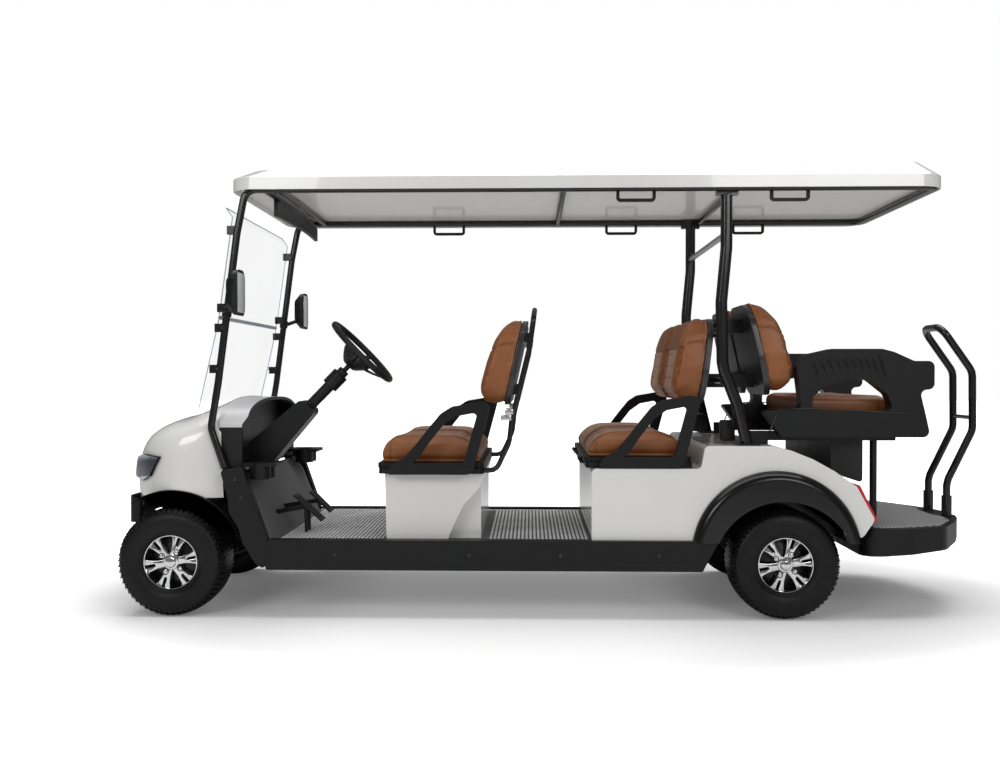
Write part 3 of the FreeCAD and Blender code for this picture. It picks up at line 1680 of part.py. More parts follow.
def front_hoop(shells, ring):
    foot_x = front_seat_rear_x + overrun
    foot_z = pedestal_top_z + seat_ring_height / 2
    side = [
        (foot_x, hoop_y, foot_z), (hoop_turn_x, hoop_y, foot_z),
        (hoop_knee_x, hoop_y, hoop_knee_z), (hoop_low_x, hoop_y, hoop_low_z),
        (hoop_middle_x, hoop_y, hoop_middle_z), (hoop_top_x, hoop_y, hoop_top_z),
        (hoop_top_x, 0, hoop_top_z),
    ]
    left = tube(side, hoop_radius, hoop_bend)
    pieces = [left, mirrored(left)]
    for z in front_bar_z:
        share = (z - hoop_low_z) / (hoop_middle_z - hoop_low_z)
        x = hoop_low_x + (hoop_middle_x - hoop_low_x) * share
        pieces.append(box(x - hoop_radius / 2, x + hoop_bar_height, -hoop_y, hoop_y,
                          z - hoop_bar_height / 2, z + hoop_bar_height / 2))
    hoop = trimmed(fused(pieces), [shells, front_clear_space(), ring])
    return max(hoop.Solids, key=lambda solid: solid.Volume)


def front_clear_space():
    """The space of the front pads, which the hoop's bars stay out of."""
    points = placed(
        front_back_shares, front_back_rear_x, front_back_front_x, front_back_low_z, front_back_high_z,
    )
    shifted = [(x - shell_thickness, z) for x, z in points]
    return slab_y(shifted, -back_outer_y, back_outer_y)


# Rear pillars: bent tubes from the rear deck to the canopy, with the bars that carry four seat backs

pillar_in = 18.0
pillar_y = rail_side_y - pillar_in
pillar_radius = 24.0
pillar_points_x = (-808.0, -770.0, -705.0, -699.0, -720.0, -720.0)
pillar_points_z = (731.0, 890.0, 1060.0, 1330.0, 1560.0, 1811.0)
pillar_cross_z = (1000.0, 1240.0)
pillar_cross_x = -705.0
pillar_cross_radius = 14.0
pillar_foot_half = 46.0
pillar_foot_thickness = 8.0
back_bracket_y = 255.0
back_bracket_half = 30.0
brace_x = -720.0
brace_z = 1620.0
brace_radius = 13.0


def rear_pillars(deck_z, shells, rails):
    points = [(x, pillar_y, z) for x, z in zip(pillar_points_x, pillar_points_z)]
    left = tube(points, pillar_radius, pillar_bend * 2)
    foot = box(
        pillar_points_x[0] - pillar_foot_half, pillar_points_x[0] + pillar_foot_half,
        pillar_y - pillar_foot_half, pillar_y + pillar_foot_half, deck_z, deck_z + pillar_foot_thickness,
    )
    head = box(
        pillar_points_x[-1] - pillar_foot_half, pillar_points_x[-1] + pillar_foot_half,
        pillar_y - pillar_radius / 2, pillar_y + pillar_radius, rail_top_z - pillar_foot_half, rail_top_z,
    )
    pieces = [left, foot, head]
    pieces += [mirrored(piece) for piece in pieces]
    for z in pillar_cross_z:
        end = vec(pillar_cross_x, pillar_y, z)
        pieces.append(bar(vec(pillar_cross_x, -pillar_y, z), end, pillar_cross_radius))
        for y in (-back_bracket_y, back_bracket_y):
            pieces.append(box(
                rear_back_front_x - shell_thickness * 2, middle_back_rear_x + shell_thickness * 2,
                y - back_bracket_half, y + back_bracket_half, z - back_bracket_half, z + back_bracket_half,
            ))
    cut = trimmed(fused(pieces), [shells, rails] + back_spaces())
    return max(cut.Solids, key=lambda solid: solid.Volume)


def back_spaces():
    """What lies in front of the shells of the middle and rear rows, kept clear of the brackets."""
    spaces = []
    reach = shell_reach
    rows = (
        (middle_back_shares, middle_back_rear_x, middle_back_front_x, middle_back_low_z, middle_back_high_z, 1),
        (rear_back_shares, rear_back_rear_x, rear_back_front_x, rear_back_low_z, rear_back_high_z, -1),
    )
    for shares, rear_x, front_x, low, high, way in rows:
        (x_low, z_low), (x_high, z_high) = placed(shares[-2:], rear_x, front_x, low, high)
        slope = (x_high - x_low) / (z_high - z_low)
        down = z_low - shell_reach / 2
        x_down = x_low + slope * (down - z_low)
        spaces.append(slab_y([
            (x_down, down), (x_high, z_high), (x_high + way * reach, z_high), (x_down + way * reach, down),
        ], -back_outer_y, back_outer_y))
    return spaces


def canopy_brace(pillars):
    return bar(vec(brace_x, -pillar_y, brace_z), vec(brace_x, pillar_y, brace_z), brace_radius).cut(pillars)


# Rear body: a hollow moulding with wheel arches, open under the middle seat

body_front_x = -151.0
body_tail_x = -1328.0
body_arch_x = -946.0
body_arch_z = 268.0
body_arch_radius = 282.0
body_round = 22.0
body_shares = (
    (1.0, middle_seat_base_share), (1.0, 0.0), (0.61, 0.0), (0.042, 0.069), (0.0, 0.248), (0.065, 0.588),
    (0.142, 0.743), (0.218, 0.865), (0.294, 0.953), (0.36, 1.0), (0.598, 1.0), (0.612, middle_seat_base_share),
)
flare_outer_radius = 352.0
flare_outer_x = -920.0
flare_outer_z = 273.0
flare_inner_radius = 299.0
flare_inner_z = 201.0
flare_profile_shares = ((1.0, 0.0), (1.0, 0.36), (0.972, 0.72), (0.93, 0.94), (0.89, 1.0))
flare_out = 44.0
flare_low_z = 326.0
liner_in = 220.0
liner_wall = 5.0


def body_outline(inset):
    return placed(
        body_shares, body_tail_x + inset, body_front_x - inset, floor_top_z, body_deck_z - inset,
    )


def rear_body(rails):
    half = body_half_width
    outer = slab_y(body_outline(0.0), -half, half, body_round)
    space = slab_y(body_outline(panel_wall), -half + panel_wall, half - panel_wall, body_round)
    lower = space.translated(vec(0, 0, -panel_wall * 2))
    hatch = box(
        middle_seat_rear_x + seat_ring_width * 2, middle_seat_front_x - seat_ring_width * 2 - hinge_set,
        -seat_half_width + seat_ring_width, seat_half_width - seat_ring_width,
        middle_seat_base_z - panel_wall * 2, middle_seat_base_z + overrun,
    )
    arches = rod(vec(body_arch_x, -half - overrun, body_arch_z), vec(body_arch_x, half + overrun, body_arch_z),
                 body_arch_radius)
    whole = trimmed(outer, [space, lower, hatch, arches, rails])
    return max(whole.Solids, key=lambda solid: solid.Volume)


def wheel_flare(body):
    """The bulged arch moulding outside the body, with the liner that closes the wheel house."""
    y_from = body_half_width - panel_wall
    depth = flare_out + panel_wall
    profile = [(flare_outer_radius * r, depth * y) for r, y in flare_profile_shares]
    bulge = turned_y(revolved([(0, 0)] + profile + [(0, depth)]), flare_outer_x, y_from, flare_outer_z)
    opening = rod(
        vec(body_arch_x, y_from - overrun, flare_inner_z),
        vec(body_arch_x, y_from + depth + overrun, flare_inner_z),
        flare_inner_radius,
    )
    inner_y = body_half_width - liner_in
    house = rod(
        vec(body_arch_x, inner_y, body_arch_z), vec(body_arch_x, y_from, body_arch_z), body_arch_radius - fit_gap,
    )
    hollow = rod(
        vec(body_arch_x, inner_y + liner_wall, body_arch_z),
        vec(body_arch_x, y_from, body_arch_z),
        body_arch_radius - fit_gap - liner_wall,
    )
    reach = flare_outer_radius + overrun
    low = box(
        flare_outer_x - reach, flare_outer_x + reach, inner_y - overrun, y_from + depth + overrun,
        flare_outer_z - reach, flare_low_z,
    )
    whole = trimmed(fused([bulge.cut(opening), house.cut(hollow)]), [low, body])
    return max(whole.Solids, key=lambda solid: solid.Volume)


tail_lamp_depth = 14.0
tail_lamp_in = 150.0
tail_lamp_inner_y = body_half_width - tail_lamp_in
tail_lamp_low_z = 412.0
tail_lamp_high_z = 566.0


def tail_lamp(body):
    front_x = body_tail_x + (body_front_x - body_tail_x) * body_shares[5][0]
    outline = [
        (body_tail_x - tail_lamp_depth, tail_lamp_low_z),
        (body_tail_x + tail_lamp_depth / 2, tail_lamp_low_z),
        (front_x + tail_lamp_depth / 2, tail_lamp_high_z),
        (front_x - tail_lamp_depth, tail_lamp_high_z),
    ]
    return slab_y(outline, tail_lamp_inner_y, body_half_width - panel_wall / 2, tail_lamp_depth / 2).cut(body)


def body_solid():
    return slab_y(body_outline(0.0), -body_half_width, body_half_width, body_round)


# Rear-facing seat: a steel frame, moulded sides with arms, and a cushion board that flips over to the rear

rear_seat_in = 140.0
rear_seat_half = body_half_width - rear_seat_in
rear_bar_in = 16.0
rear_bar_inner_y = rear_seat_half - rear_bar_in
rear_bar_out = 20.0
rear_bar_outer_y = rear_seat_half + rear_bar_out
rear_bar_low_z = 745.0
rear_bar_high_z = 785.0
rear_deck_z = 832.0
rear_seat_front_x = -1065.0
rear_seat_rear_x = -1450.0
rear_bar_front_x = -830.0
rear_cross_width = 50.0
rear_front_bar_width = 80.0
rear_leg_x = -1403.0
rear_leg_y = 300.0
rear_leg_radius = 15.0
rear_board_thickness = 18.0
rear_cushion_height = 82.0
storage_front_x = -1187.0
storage_rear_x = -1322.0
storage_front_low_z = 616.0
storage_rear_low_z = 559.0
storage_half = 400.0
tray_in = 40.0
tray_outer_y = body_half_width - tray_in
tray_front_x = -879.0
tray_rear_x = -1584.0
tray_low_z = 763.0
tray_high_z = 1134.0
tray_shares = (
    (0.899, 0.0), (1.0, 0.275), (0.99, 0.3), (0.80, 0.315),
    (0.781, 0.364), (0.81, 0.80), (0.759, 0.933), (0.604, 1.0),
    (0.308, 1.0), (0.237, 0.965), (0.119, 0.863), (0.0, 0.863), (0.0, 0.545), (0.088, 0.534), (0.058, 0.318),
    (0.021, 0.0),
)
tray_hole_shares = (
    (0.719, 0.294), (0.719, 0.447), (0.645, 0.58), (0.497, 0.664), (0.380, 0.647), (0.277, 0.488), (0.233, 0.294),
)
tray_round = 26.0
tray_inset_share = 0.25


def rear_seat_frame(deck_z):
    bars = []
    for side in (1, -1):
        y_from, y_to = sorted((side * rear_bar_inner_y, side * rear_bar_outer_y))
        bars.append(box(rear_seat_rear_x, rear_bar_front_x, y_from, y_to, rear_bar_low_z, rear_bar_high_z))
        bars.append(box(rear_bar_front_x - rear_front_bar_width, rear_bar_front_x, y_from, y_to,
                        deck_z, rear_bar_low_z))
        bars.append(bar(
            vec(rear_leg_x, side * rear_leg_y, footplate_top_z),
            vec(rear_leg_x, side * rear_leg_y, rear_bar_high_z),
            rear_leg_radius,
        ))
    for x in (rear_seat_rear_x, rear_seat_front_x - rear_cross_width):
        bars.append(box(x, x + rear_cross_width, -rear_bar_outer_y, rear_bar_outer_y, rear_bar_high_z, rear_deck_z))
    storage = slab_y([
        (storage_front_x, rear_bar_high_z), (storage_rear_x, rear_bar_high_z),
        (storage_rear_x, storage_rear_low_z), (storage_front_x, storage_front_low_z),
    ], -rear_bar_inner_y, rear_bar_inner_y, tray_round / 2)
    lugs = hinge_lugs(rear_seat_rear_x, rear_seat_rear_x - hinge_reach, rear_deck_z + fit_gap, rear_seat_rear_x)
    return fused(bars + [storage] + lugs)


def rear_seat_board():
    low = rear_deck_z + fit_gap
    board = slab_z([
        (rear_seat_rear_x, -rear_seat_half), (rear_seat_front_x, -rear_seat_half),
        (rear_seat_front_x, rear_seat_half), (rear_seat_rear_x, rear_seat_half),
    ], low, low + rear_board_thickness, tray_round / 2)
    axis_x = rear_seat_rear_x - hinge_reach
    eyes = hinge_eyes(rear_seat_rear_x, axis_x, low)
    return fused([board] + eyes).cut(hinge_bore(axis_x, low))


def rear_cushion():
    low = rear_deck_z + rear_board_thickness + 2 * fit_gap
    inset = tray_round * tray_inset_share
    points = [
        (rear_seat_rear_x + inset, low), (rear_seat_rear_x + inset, low + rear_cushion_height),
        (rear_seat_front_x - inset, low + rear_cushion_height), (rear_seat_front_x - inset, low),
    ]
    half = rear_seat_half - inset
    along = slab_y(points, -half, half, tray_round)
    across = slab_x([
        (-half, low), (half, low), (half, low + rear_cushion_height), (-half, low + rear_cushion_height),
    ], rear_seat_rear_x - overrun, rear_seat_front_x + overrun, tray_round)
    return along.common(across)


def tray_side():
    outer = slab_y(placed(tray_shares, tray_rear_x, tray_front_x, tray_low_z, tray_high_z),
                   rear_bar_outer_y, tray_outer_y, tray_round)
    hole = slab_y(placed(tray_hole_shares, tray_rear_x, tray_front_x, tray_low_z, tray_high_z),
                  rear_bar_outer_y - overrun, tray_outer_y + overrun, tray_round)
    return outer.cut(hole)


# Rear footplate: a shallow tray upside down, tapered to a rounded tail, with the sockets of the grab handle

footplate_top_z = 382.0
footplate_low_z = 262.0
footplate_front_x = -1288.0
footplate_rear_x = -1842.0
footplate_rear_low_z = 296.0
footplate_in = 5.0
footplate_half = body_half_width - footplate_in
footplate_plan_shares = ((0.0, 1.0), (0.36, 0.985), (0.66, 0.86), (0.86, 0.53), (0.95, 0.33), (1.0, 0.17))
footplate_round = 90.0
footplate_skin = 8.0
grab_y = 113.0
grab_radius = 16.0
grab_bend = 70.0
grab_points_x = (-1795.0, -1795.0, -1910.0, -1908.0, -1766.0)
grab_points_z = (382.0, 536.0, 774.0, 1040.0, 1243.0)
grab_sleeve_radius = 22.0
grab_sleeve_height = 92.0
grab_link_z = 830.0
grab_link_radius = 9.0


def footplate_plan(inset):
    rear_x = footplate_rear_x
    left = [
        (footplate_front_x + (rear_x - footplate_front_x) * a + inset * (a > 0.5) - inset * (a < 0.1),
         footplate_half * b - inset)
        for a, b in footplate_plan_shares
    ]
    right = [(x, -y) for x, y in reversed(left)]
    return left + right


def footplate(rails, body):
    outer = slab_z(footplate_plan(0.0), footplate_low_z, footplate_top_z, footplate_round)
    space = slab_z(footplate_plan(footplate_skin), footplate_low_z - overrun,
                   footplate_top_z - footplate_skin, footplate_round)
    slope = slab_y([
        (footplate_front_x + overrun, footplate_low_z - overrun),
        (footplate_front_x + overrun, footplate_low_z),
        (footplate_rear_x - overrun, footplate_rear_low_z),
        (footplate_rear_x - overrun, footplate_low_z - overrun),
    ], -footplate_half - overrun, footplate_half + overrun)
    whole = trimmed(outer, [space, slope, rails, body])
    return max(whole.Solids, key=lambda solid: solid.Volume)


def grab_handle():
    side = [(x, grab_y, z) for x, z in zip(grab_points_x, grab_points_z)]
    side.append((grab_points_x[-1], 0, grab_points_z[-1]))
    left = tube(side, grab_radius, grab_bend)
    sleeve = bar(
        vec(grab_points_x[0], grab_y, footplate_top_z),
        vec(grab_points_x[0], grab_y, footplate_top_z + grab_sleeve_height),
        grab_sleeve_radius,
    )
    link = bar(
        vec(grab_points_x[2], -grab_y, grab_link_z), vec(grab_points_x[2], grab_y, grab_link_z), grab_link_radius,
    )
    return fused([left, mirrored(left), sleeve, mirrored(sleeve), link])


# The whole cart: each node is made once and written under its own name

def chassis_nodes():
    rails = frame()
    cowl_form = cowl_solid(0.0)
    shell = cowl_shell()
    canopy = canopy_frame()
    toe = toe_board()
    column = steering_column()
    panes = fused_compound([upper_pane(), lower_pane(cowl_form)])
    canopy = canopy.cut(panes)
    shells = fused_compound([
        back_shell(front_back_shares, front_back_rear_x, front_back_front_x,
                   front_back_low_z, front_back_high_z, -shell_thickness),
        back_shell(middle_back_shares, middle_back_rear_x, middle_back_front_x,
                   middle_back_low_z, middle_back_high_z, -shell_thickness),
        back_shell(rear_back_shares, rear_back_rear_x, rear_back_front_x,
                   rear_back_low_z, rear_back_high_z, shell_thickness),
    ])
    front_ring = seat_ring(front_seat_rear_x, front_seat_front_x, pedestal_top_z)
    middle_ring = seat_ring(middle_seat_rear_x, middle_seat_front_x, middle_seat_base_z)
    side_sill = sill()
    sill_blocks = pair(sill_block())
    body = rear_body(rails).cut(sill_blocks)
    pillars = rear_pillars(body_deck_z, shells, canopy).cut(body)
    blockers = [cowl_form, mirrored(side_tube()), side_tube()]
    cover = quarter_cover(blockers)
    handles = [roof_handle(x, 1, canopy) for x in handle_x_left]
    handles += [roof_handle(x, -1, canopy) for x in handle_x_right]
    arms = [
        armrest(front_arm_rear_x, front_arm_front_x, pedestal_top_z),
        armrest(middle_arm_rear_x, middle_arm_front_x, middle_seat_base_z),
    ]
    flare = wheel_flare(body).cut(sill_blocks)
    return {
        "frame": rails,
        "front_suspension": fused([front_axle(), damper(), mirrored(damper())]),
        "rear_axle": fused([rear_axle(), drive_motor()]),
        "rear_springs": pair(leaf_spring()),
        "floor_pan": fused([floor(), toe]),
        "sills": pair(side_sill),
        "quarter_covers": pair(fused([cover, front_liner()])),
        "front_cowl": front_cowl(shell).cut(canopy),
        "headlamps": headlamps(shell),
        "front_bumper": front_bumper(shell),
        "dash": dash(cowl_form).cut(column),
        "cup_holders": fused_compound([cup_pod(1), cup_pod(-1)]),
        "steering_column": column,
        "pedals": fused_compound([
            pedal(brake_y, brake_low, brake_high, toe), pedal(accelerator_y, accelerator_low, accelerator_high, toe),
        ]),
        "canopy_frame": canopy,
        "windshield": panes,
        "roof": roof(),
        "roof_handles": Part.makeCompound(handles),
        "mirrors": fused_compound([pair(side_mirror(canopy)), mirror_bar(canopy)]),
        "front_pedestal": front_pedestal(),
        "battery_pack": battery_pack(),
        "seat_rings": Part.makeCompound([front_ring, middle_ring]),
        "armrests": Part.makeCompound(arms + [mirrored(arm) for arm in arms]),
        "front_backs": seat_back(front_back_shares, front_back_rear_x, front_back_front_x,
                                 front_back_low_z, front_back_high_z),
        "middle_backs": seat_back(middle_back_shares, middle_back_rear_x, middle_back_front_x,
                                  middle_back_low_z, middle_back_high_z),
        "rear_backs": seat_back(rear_back_shares, rear_back_rear_x, rear_back_front_x,
                                rear_back_low_z, rear_back_high_z),
        "back_shells": shells,
        "front_hoop": front_hoop(shells, front_ring),
        "rear_pillars": pillars,
        "canopy_brace": canopy_brace(pillars),
        "rear_body": body,
        "wheel_flares": pair(flare),
        "tail_lamps": pair(tail_lamp(body_solid())),
        "rear_seat_frame": rear_seat_frame(body_deck_z),
        "rear_tray": pair(tray_side()),
        "footplate": footplate(rails, body_solid()),
        "grab_handle": grab_handle(),
    }


def fused_compound(shapes):
    solids = []
    for shape in shapes:
        solids += shape.Solids
    return Part.makeCompound(solids)


def moving_nodes():
    rubber = tyre()
    cast = rim()
    nodes = {}
    corners = (
        ("front_left", front_axle_x, 1), ("front_right", front_axle_x, -1),
        ("rear_left", rear_axle_x, 1), ("rear_right", rear_axle_x, -1),
    )
    for name, x, side in corners:
        nodes["tyre_" + name] = on_side(rubber, x, side)
        nodes["rim_" + name] = on_side(cast, x, side)
    nodes["knuckle_left"] = knuckle()
    nodes["knuckle_right"] = mirrored(knuckle())
    nodes["track_rod"] = track_rod()
    nodes["steering_wheel"] = steering_wheel()
    nodes["front_seat_lid"] = seat_lid(front_seat_rear_x, front_seat_front_x, pedestal_top_z)
    nodes["front_cushion"] = bench_cushion(
        front_seat_rear_x, front_seat_front_x, pedestal_top_z, front_cushion_height, front_cushion_shares,
    )
    nodes["middle_seat_lid"] = seat_lid(middle_seat_rear_x, middle_seat_front_x, middle_seat_base_z)
    nodes["middle_cushion"] = bench_cushion(
        middle_seat_rear_x, middle_seat_front_x, middle_seat_base_z, middle_cushion_height, middle_cushion_shares,
    )
    nodes["rear_seat_board"] = rear_seat_board()
    nodes["rear_cushion"] = rear_cushion()
    return nodes


def save(nodes):
    os.makedirs("parts", exist_ok=True)
    for name, shape in nodes.items():
        shape.exportStep(os.path.join("parts", name + ".step"))


save(chassis_nodes())
save(moving_nodes())
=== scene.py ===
import math

import bmesh
import bpy
import numpy as np
from mathutils import Matrix, Vector


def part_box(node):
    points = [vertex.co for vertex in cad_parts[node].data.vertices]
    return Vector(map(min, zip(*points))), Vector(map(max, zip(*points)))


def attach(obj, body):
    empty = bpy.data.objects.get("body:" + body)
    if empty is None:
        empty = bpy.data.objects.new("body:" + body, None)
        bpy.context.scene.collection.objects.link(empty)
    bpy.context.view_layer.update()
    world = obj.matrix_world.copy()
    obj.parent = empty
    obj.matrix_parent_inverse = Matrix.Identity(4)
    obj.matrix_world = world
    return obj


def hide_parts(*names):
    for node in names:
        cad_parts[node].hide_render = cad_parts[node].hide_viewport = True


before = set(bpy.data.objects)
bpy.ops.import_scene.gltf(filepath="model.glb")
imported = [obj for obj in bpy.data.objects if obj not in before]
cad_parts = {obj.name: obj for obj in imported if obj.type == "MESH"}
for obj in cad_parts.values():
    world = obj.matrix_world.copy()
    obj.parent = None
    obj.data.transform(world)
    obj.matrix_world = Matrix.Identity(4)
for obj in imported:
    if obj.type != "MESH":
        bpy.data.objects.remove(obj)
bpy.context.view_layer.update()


# Chassis steel: rails, axle, springs, pillars and brackets of welded tube and plate, with a satin
# black powder coat that is a little rough and slightly grey where dust has settled.

def math_node(operation, swapped=False):
    """An arithmetic method of a Wire."""

    def method(self, *others):
        values = (self, *others)
        return self.maths(operation, *(values[::-1] if swapped else values))

    return method


class Wire:
    """A socket in a node tree. Arithmetic on it adds Math nodes to the same tree."""

    def __init__(self, graph, socket):
        self.graph = graph
        self.socket = socket

    def maths(self, operation, *values):
        return self.graph.node("ShaderNodeMath", dict(enumerate(values)), operation=operation)

    __add__ = __radd__ = math_node("ADD")
    __sub__, __rsub__ = math_node("SUBTRACT"), math_node("SUBTRACT", swapped=True)
    __mul__ = __rmul__ = math_node("MULTIPLY")
    __truediv__, __gt__ = math_node("DIVIDE"), math_node("GREATER_THAN")
    __abs__, root = math_node("ABSOLUTE"), math_node("SQRT")
    # What is left after whole steps, from 0 to 1.
    part = math_node("FRACT")

    def ramp(self, low, high):
        """0 below low, 1 above high and smooth between them."""
        return self.graph.node(
            "ShaderNodeMapRange", {0: self, 1: low, 2: high}, interpolation_type="SMOOTHSTEP",
        )


class Graph:
    """A node tree that is written as expressions."""

    def __init__(self, tree):
        self.tree = tree

    def join(self, socket, value):
        if isinstance(value, Wire):
            self.tree.links.new(value.socket, socket)
        else:
            socket.default_value = value

    def node(self, kind, inputs, output=0, **settings):
        made = self.tree.nodes.new(kind)
        for name, value in settings.items():
            setattr(made, name, value)
        for key, value in inputs.items():
            self.join(made.inputs[key], value)
        return Wire(self, made.outputs[output])

    def ray(self, kind):
        """1 for rays of that kind and 0 for all others."""
        return self.node("ShaderNodeLightPath", {}, "Is " + kind + " Ray")


class Finish(Graph):
    """A material whose patterns follow the object's own coordinates, in metres."""

    def __init__(self, name, slot, colour, roughness, gloss=0.5, **sockets):
        self.material = bpy.data.materials.new(name)
        self.material.use_nodes = True
        super().__init__(self.material.node_tree)
        self.slot = slot
        self.shader = self.tree.nodes["Principled BSDF"]
        self.colour = (*colour, 1.0)
        self.wear(base_color=self.colour, roughness=roughness, specular_ior_level=gloss, **sockets)

    def wear(self, **sockets):
        for name, value in sockets.items():
            self.join(self.shader.inputs[name.replace("_", " ").title().replace("Ior", "IOR")], value)

    def place(self, stretch=None):
        place = self.node("ShaderNodeTexCoord", {}, "Object")
        return self.node("ShaderNodeMapping", {"Vector": place, "Scale": stretch}) if stretch else place

    def axis(self, letter):
        return self.node("ShaderNodeSeparateXYZ", {0: self.place()}, "XYZ".index(letter))

    def facing(self, letter):
        """How far the surface faces along an axis."""
        normal = self.node("ShaderNodeNewGeometry", {}, "Normal")
        return self.node("ShaderNodeSeparateXYZ", {0: normal}, "XYZ".index(letter))

    def attribute(self, name):
        return self.node("ShaderNodeAttribute", {}, "Fac", attribute_name=name)

    def noise(self, scale, detail=2.0, stretch=None):
        inputs = {"Vector": self.place(stretch), "Scale": scale, "Detail": detail}
        return self.node("ShaderNodeTexNoise", inputs)

    def cells(self, scale):
        return self.node("ShaderNodeTexVoronoi", {"Vector": self.place(), "Scale": scale})

    def mixed(self, mask, low, high):
        return self.node("ShaderNodeMix", {0: mask, 6: low, 7: high}, 2, data_type="RGBA")

    def shade(self, factor):
        """The finish's colour made darker or lighter, as a fixed colour."""
        return (*(min(1.0, part * factor) for part in self.colour[:3]), 1.0)

    def patchy(self, scale, detail, spread, least):
        """Roughness that varies from place to place."""
        self.wear(roughness=self.noise(scale, detail) * spread + least)

    def grain(self, scale, detail, distance, strength):
        """A fine uneven surface."""
        self.bumped(self.noise(scale, detail), distance, strength)

    def bumped(self, height, distance, strength):
        self.wear(normal=self.node(
            "ShaderNodeBump", {"Height": height, "Distance": distance, "Strength": strength},
        ))


powder_coat = Finish("powder_coat_black", "black_steel", (0.0075, 0.0075, 0.008), 0.42, 0.35)
settled = powder_coat.noise(9.0, 5.0).ramp(0.45, 0.75)
powder_coat.wear(
    base_color=powder_coat.mixed(settled, powder_coat.colour, (0.014, 0.014, 0.0145, 1.0)),
    roughness=settled * 0.12 + 0.36,
)
powder_coat.grain(900.0, 2.0, 0.0002, 0.5)


class Pattern(Graph):
    """A geometry tree with named inputs, all of them plain numbers."""

    def __init__(self, name, **inputs):
        super().__init__(bpy.data.node_groups.new(name, "GeometryNodeTree"))
        face = self.tree.interface
        face.new_socket("Geometry", in_out="INPUT", socket_type="NodeSocketGeometry")
        face.new_socket("Geometry", in_out="OUTPUT", socket_type="NodeSocketGeometry")
        self.keys = {}
        for label, value in inputs.items():
            socket = face.new_socket(label, in_out="INPUT", socket_type="NodeSocketFloat")
            socket.default_value = value
            self.keys[label] = socket.identifier
        self.entry = self.tree.nodes.new("NodeGroupInput")

    def given(self, label):
        return Wire(self, self.entry.outputs[label])

    def ends(self, geometry):
        leave = self.tree.nodes.new("NodeGroupOutput")
        self.join(leave.inputs[0], geometry)

    def on(self, obj, **inputs):
        modifier = obj.modifiers.new(self.tree.name, "NODES")
        modifier.node_group = self.tree
        for label, value in inputs.items():
            modifier[self.keys[label]] = value


creases = Pattern("creases_by_angle", angle=0.6)
faces = creases.node("GeometryNodeSetShadeSmooth", {"Geometry": creases.given("Geometry")}, domain="FACE")
turn = creases.node("GeometryNodeInputMeshEdgeAngle", {})
sharp = creases.node("FunctionNodeCompare", {0: turn, 1: creases.given("angle")}, operation="GREATER_THAN")
creased = {"Geometry": faces, "Selection": sharp, "Shade Smooth": False}
creases.ends(creases.node("GeometryNodeSetShadeSmooth", creased, domain="EDGE"))


def edge_rounding(obj, width, angle, segments=2):
    bevel = obj.modifiers.new("edge_rounding", "BEVEL")
    bevel.width = width
    bevel.segments = segments
    bevel.limit_method = "ANGLE"
    bevel.angle_limit = angle


weld_reach = 0.00002
flat_limit = math.radians(0.3)


def softened(obj, width, angle):
    """Joins loose triangles, rounds the sharp edges and shades the rest smooth."""
    obj.modifiers.new("joined", "WELD").merge_threshold = weld_reach
    flat = obj.modifiers.new("flat_faces", "DECIMATE")
    flat.decimate_type = "DISSOLVE"
    flat.angle_limit = flat_limit
    if width:
        edge_rounding(obj, width, angle)
    creases.on(obj, angle=angle)
    shade = obj.modifiers.new("even_shade", "WEIGHTED_NORMAL")
    shade.keep_sharp = True


def coat(finish, width, *names, angle):
    """Gives CAD nodes a finish, and soft edges of that width."""
    for name in names:
        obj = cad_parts[name]
        obj.data.materials.clear()
        obj.data.materials.append(finish.material)
        softened(obj, width, angle)


plate_edge, tube_edge, moulded_edge = 0.0015, 0.001, 0.003
coat(powder_coat, plate_edge, "frame", "front_suspension", "rear_axle", "rear_springs", "knuckle_left",
     "knuckle_right", "track_rod", "battery_pack", "pedals", "rear_seat_frame", angle=0.6)

# The tubes that hands touch have a glossier coat.
glazed = Finish("powder_coat_gloss", "black_steel", (0.006, 0.006, 0.0065), 0.22, 0.55)
glazed.patchy(18.0, 4.0, 0.12, 0.16)
glazed.grain(500.0, 2.0, 0.0001, 0.3)
coat(glazed, tube_edge, "canopy_frame", "rear_pillars", "front_hoop", "grab_handle", angle=0.8)


# Tyres: low rubber tyres with a crowned belt of blocks and heavy shoulder lugs. The carcass is turned
# from one profile, and the blocks are set round it. Matt black, with patches of dust.

rubber = Finish("tyre_rubber", "tyre_rubber", (0.0045, 0.0045, 0.005), 0.5, 0.25)
dust = rubber.noise(30.0, 6.0).ramp(0.5, 0.8)
rubber.wear(base_color=rubber.mixed(dust, rubber.colour, (0.009, 0.0088, 0.0085, 1.0)),
            roughness=dust * 0.15 + 0.42)
rubber.grain(700.0, 3.0, 0.0003, 0.6)


def placed(name, data):
    """An object in the scene, at the origin."""
    obj = bpy.data.objects.new(name, data)
    bpy.context.scene.collection.objects.link(obj)
    return obj


def made(name, mesh, finish, body, replaced=(), smooth=0.6):
    """A finished piece out of one mesh or a list, already in place, that rides on a body."""
    if isinstance(mesh, list):
        mesh = joined(mesh)
    mesh.name = name
    obj = placed(name, mesh)
    mesh.materials.clear()
    mesh.materials.append(finish.material)
    creases.on(obj, angle=smooth)
    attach(obj, body)
    if replaced:
        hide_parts(*replaced)
    return obj


def mesh_of(points, faces):
    mesh = bpy.data.meshes.new("mesh")
    mesh.from_pydata([tuple(point) for point in points], [], faces)
    mesh.validate()
    return mesh


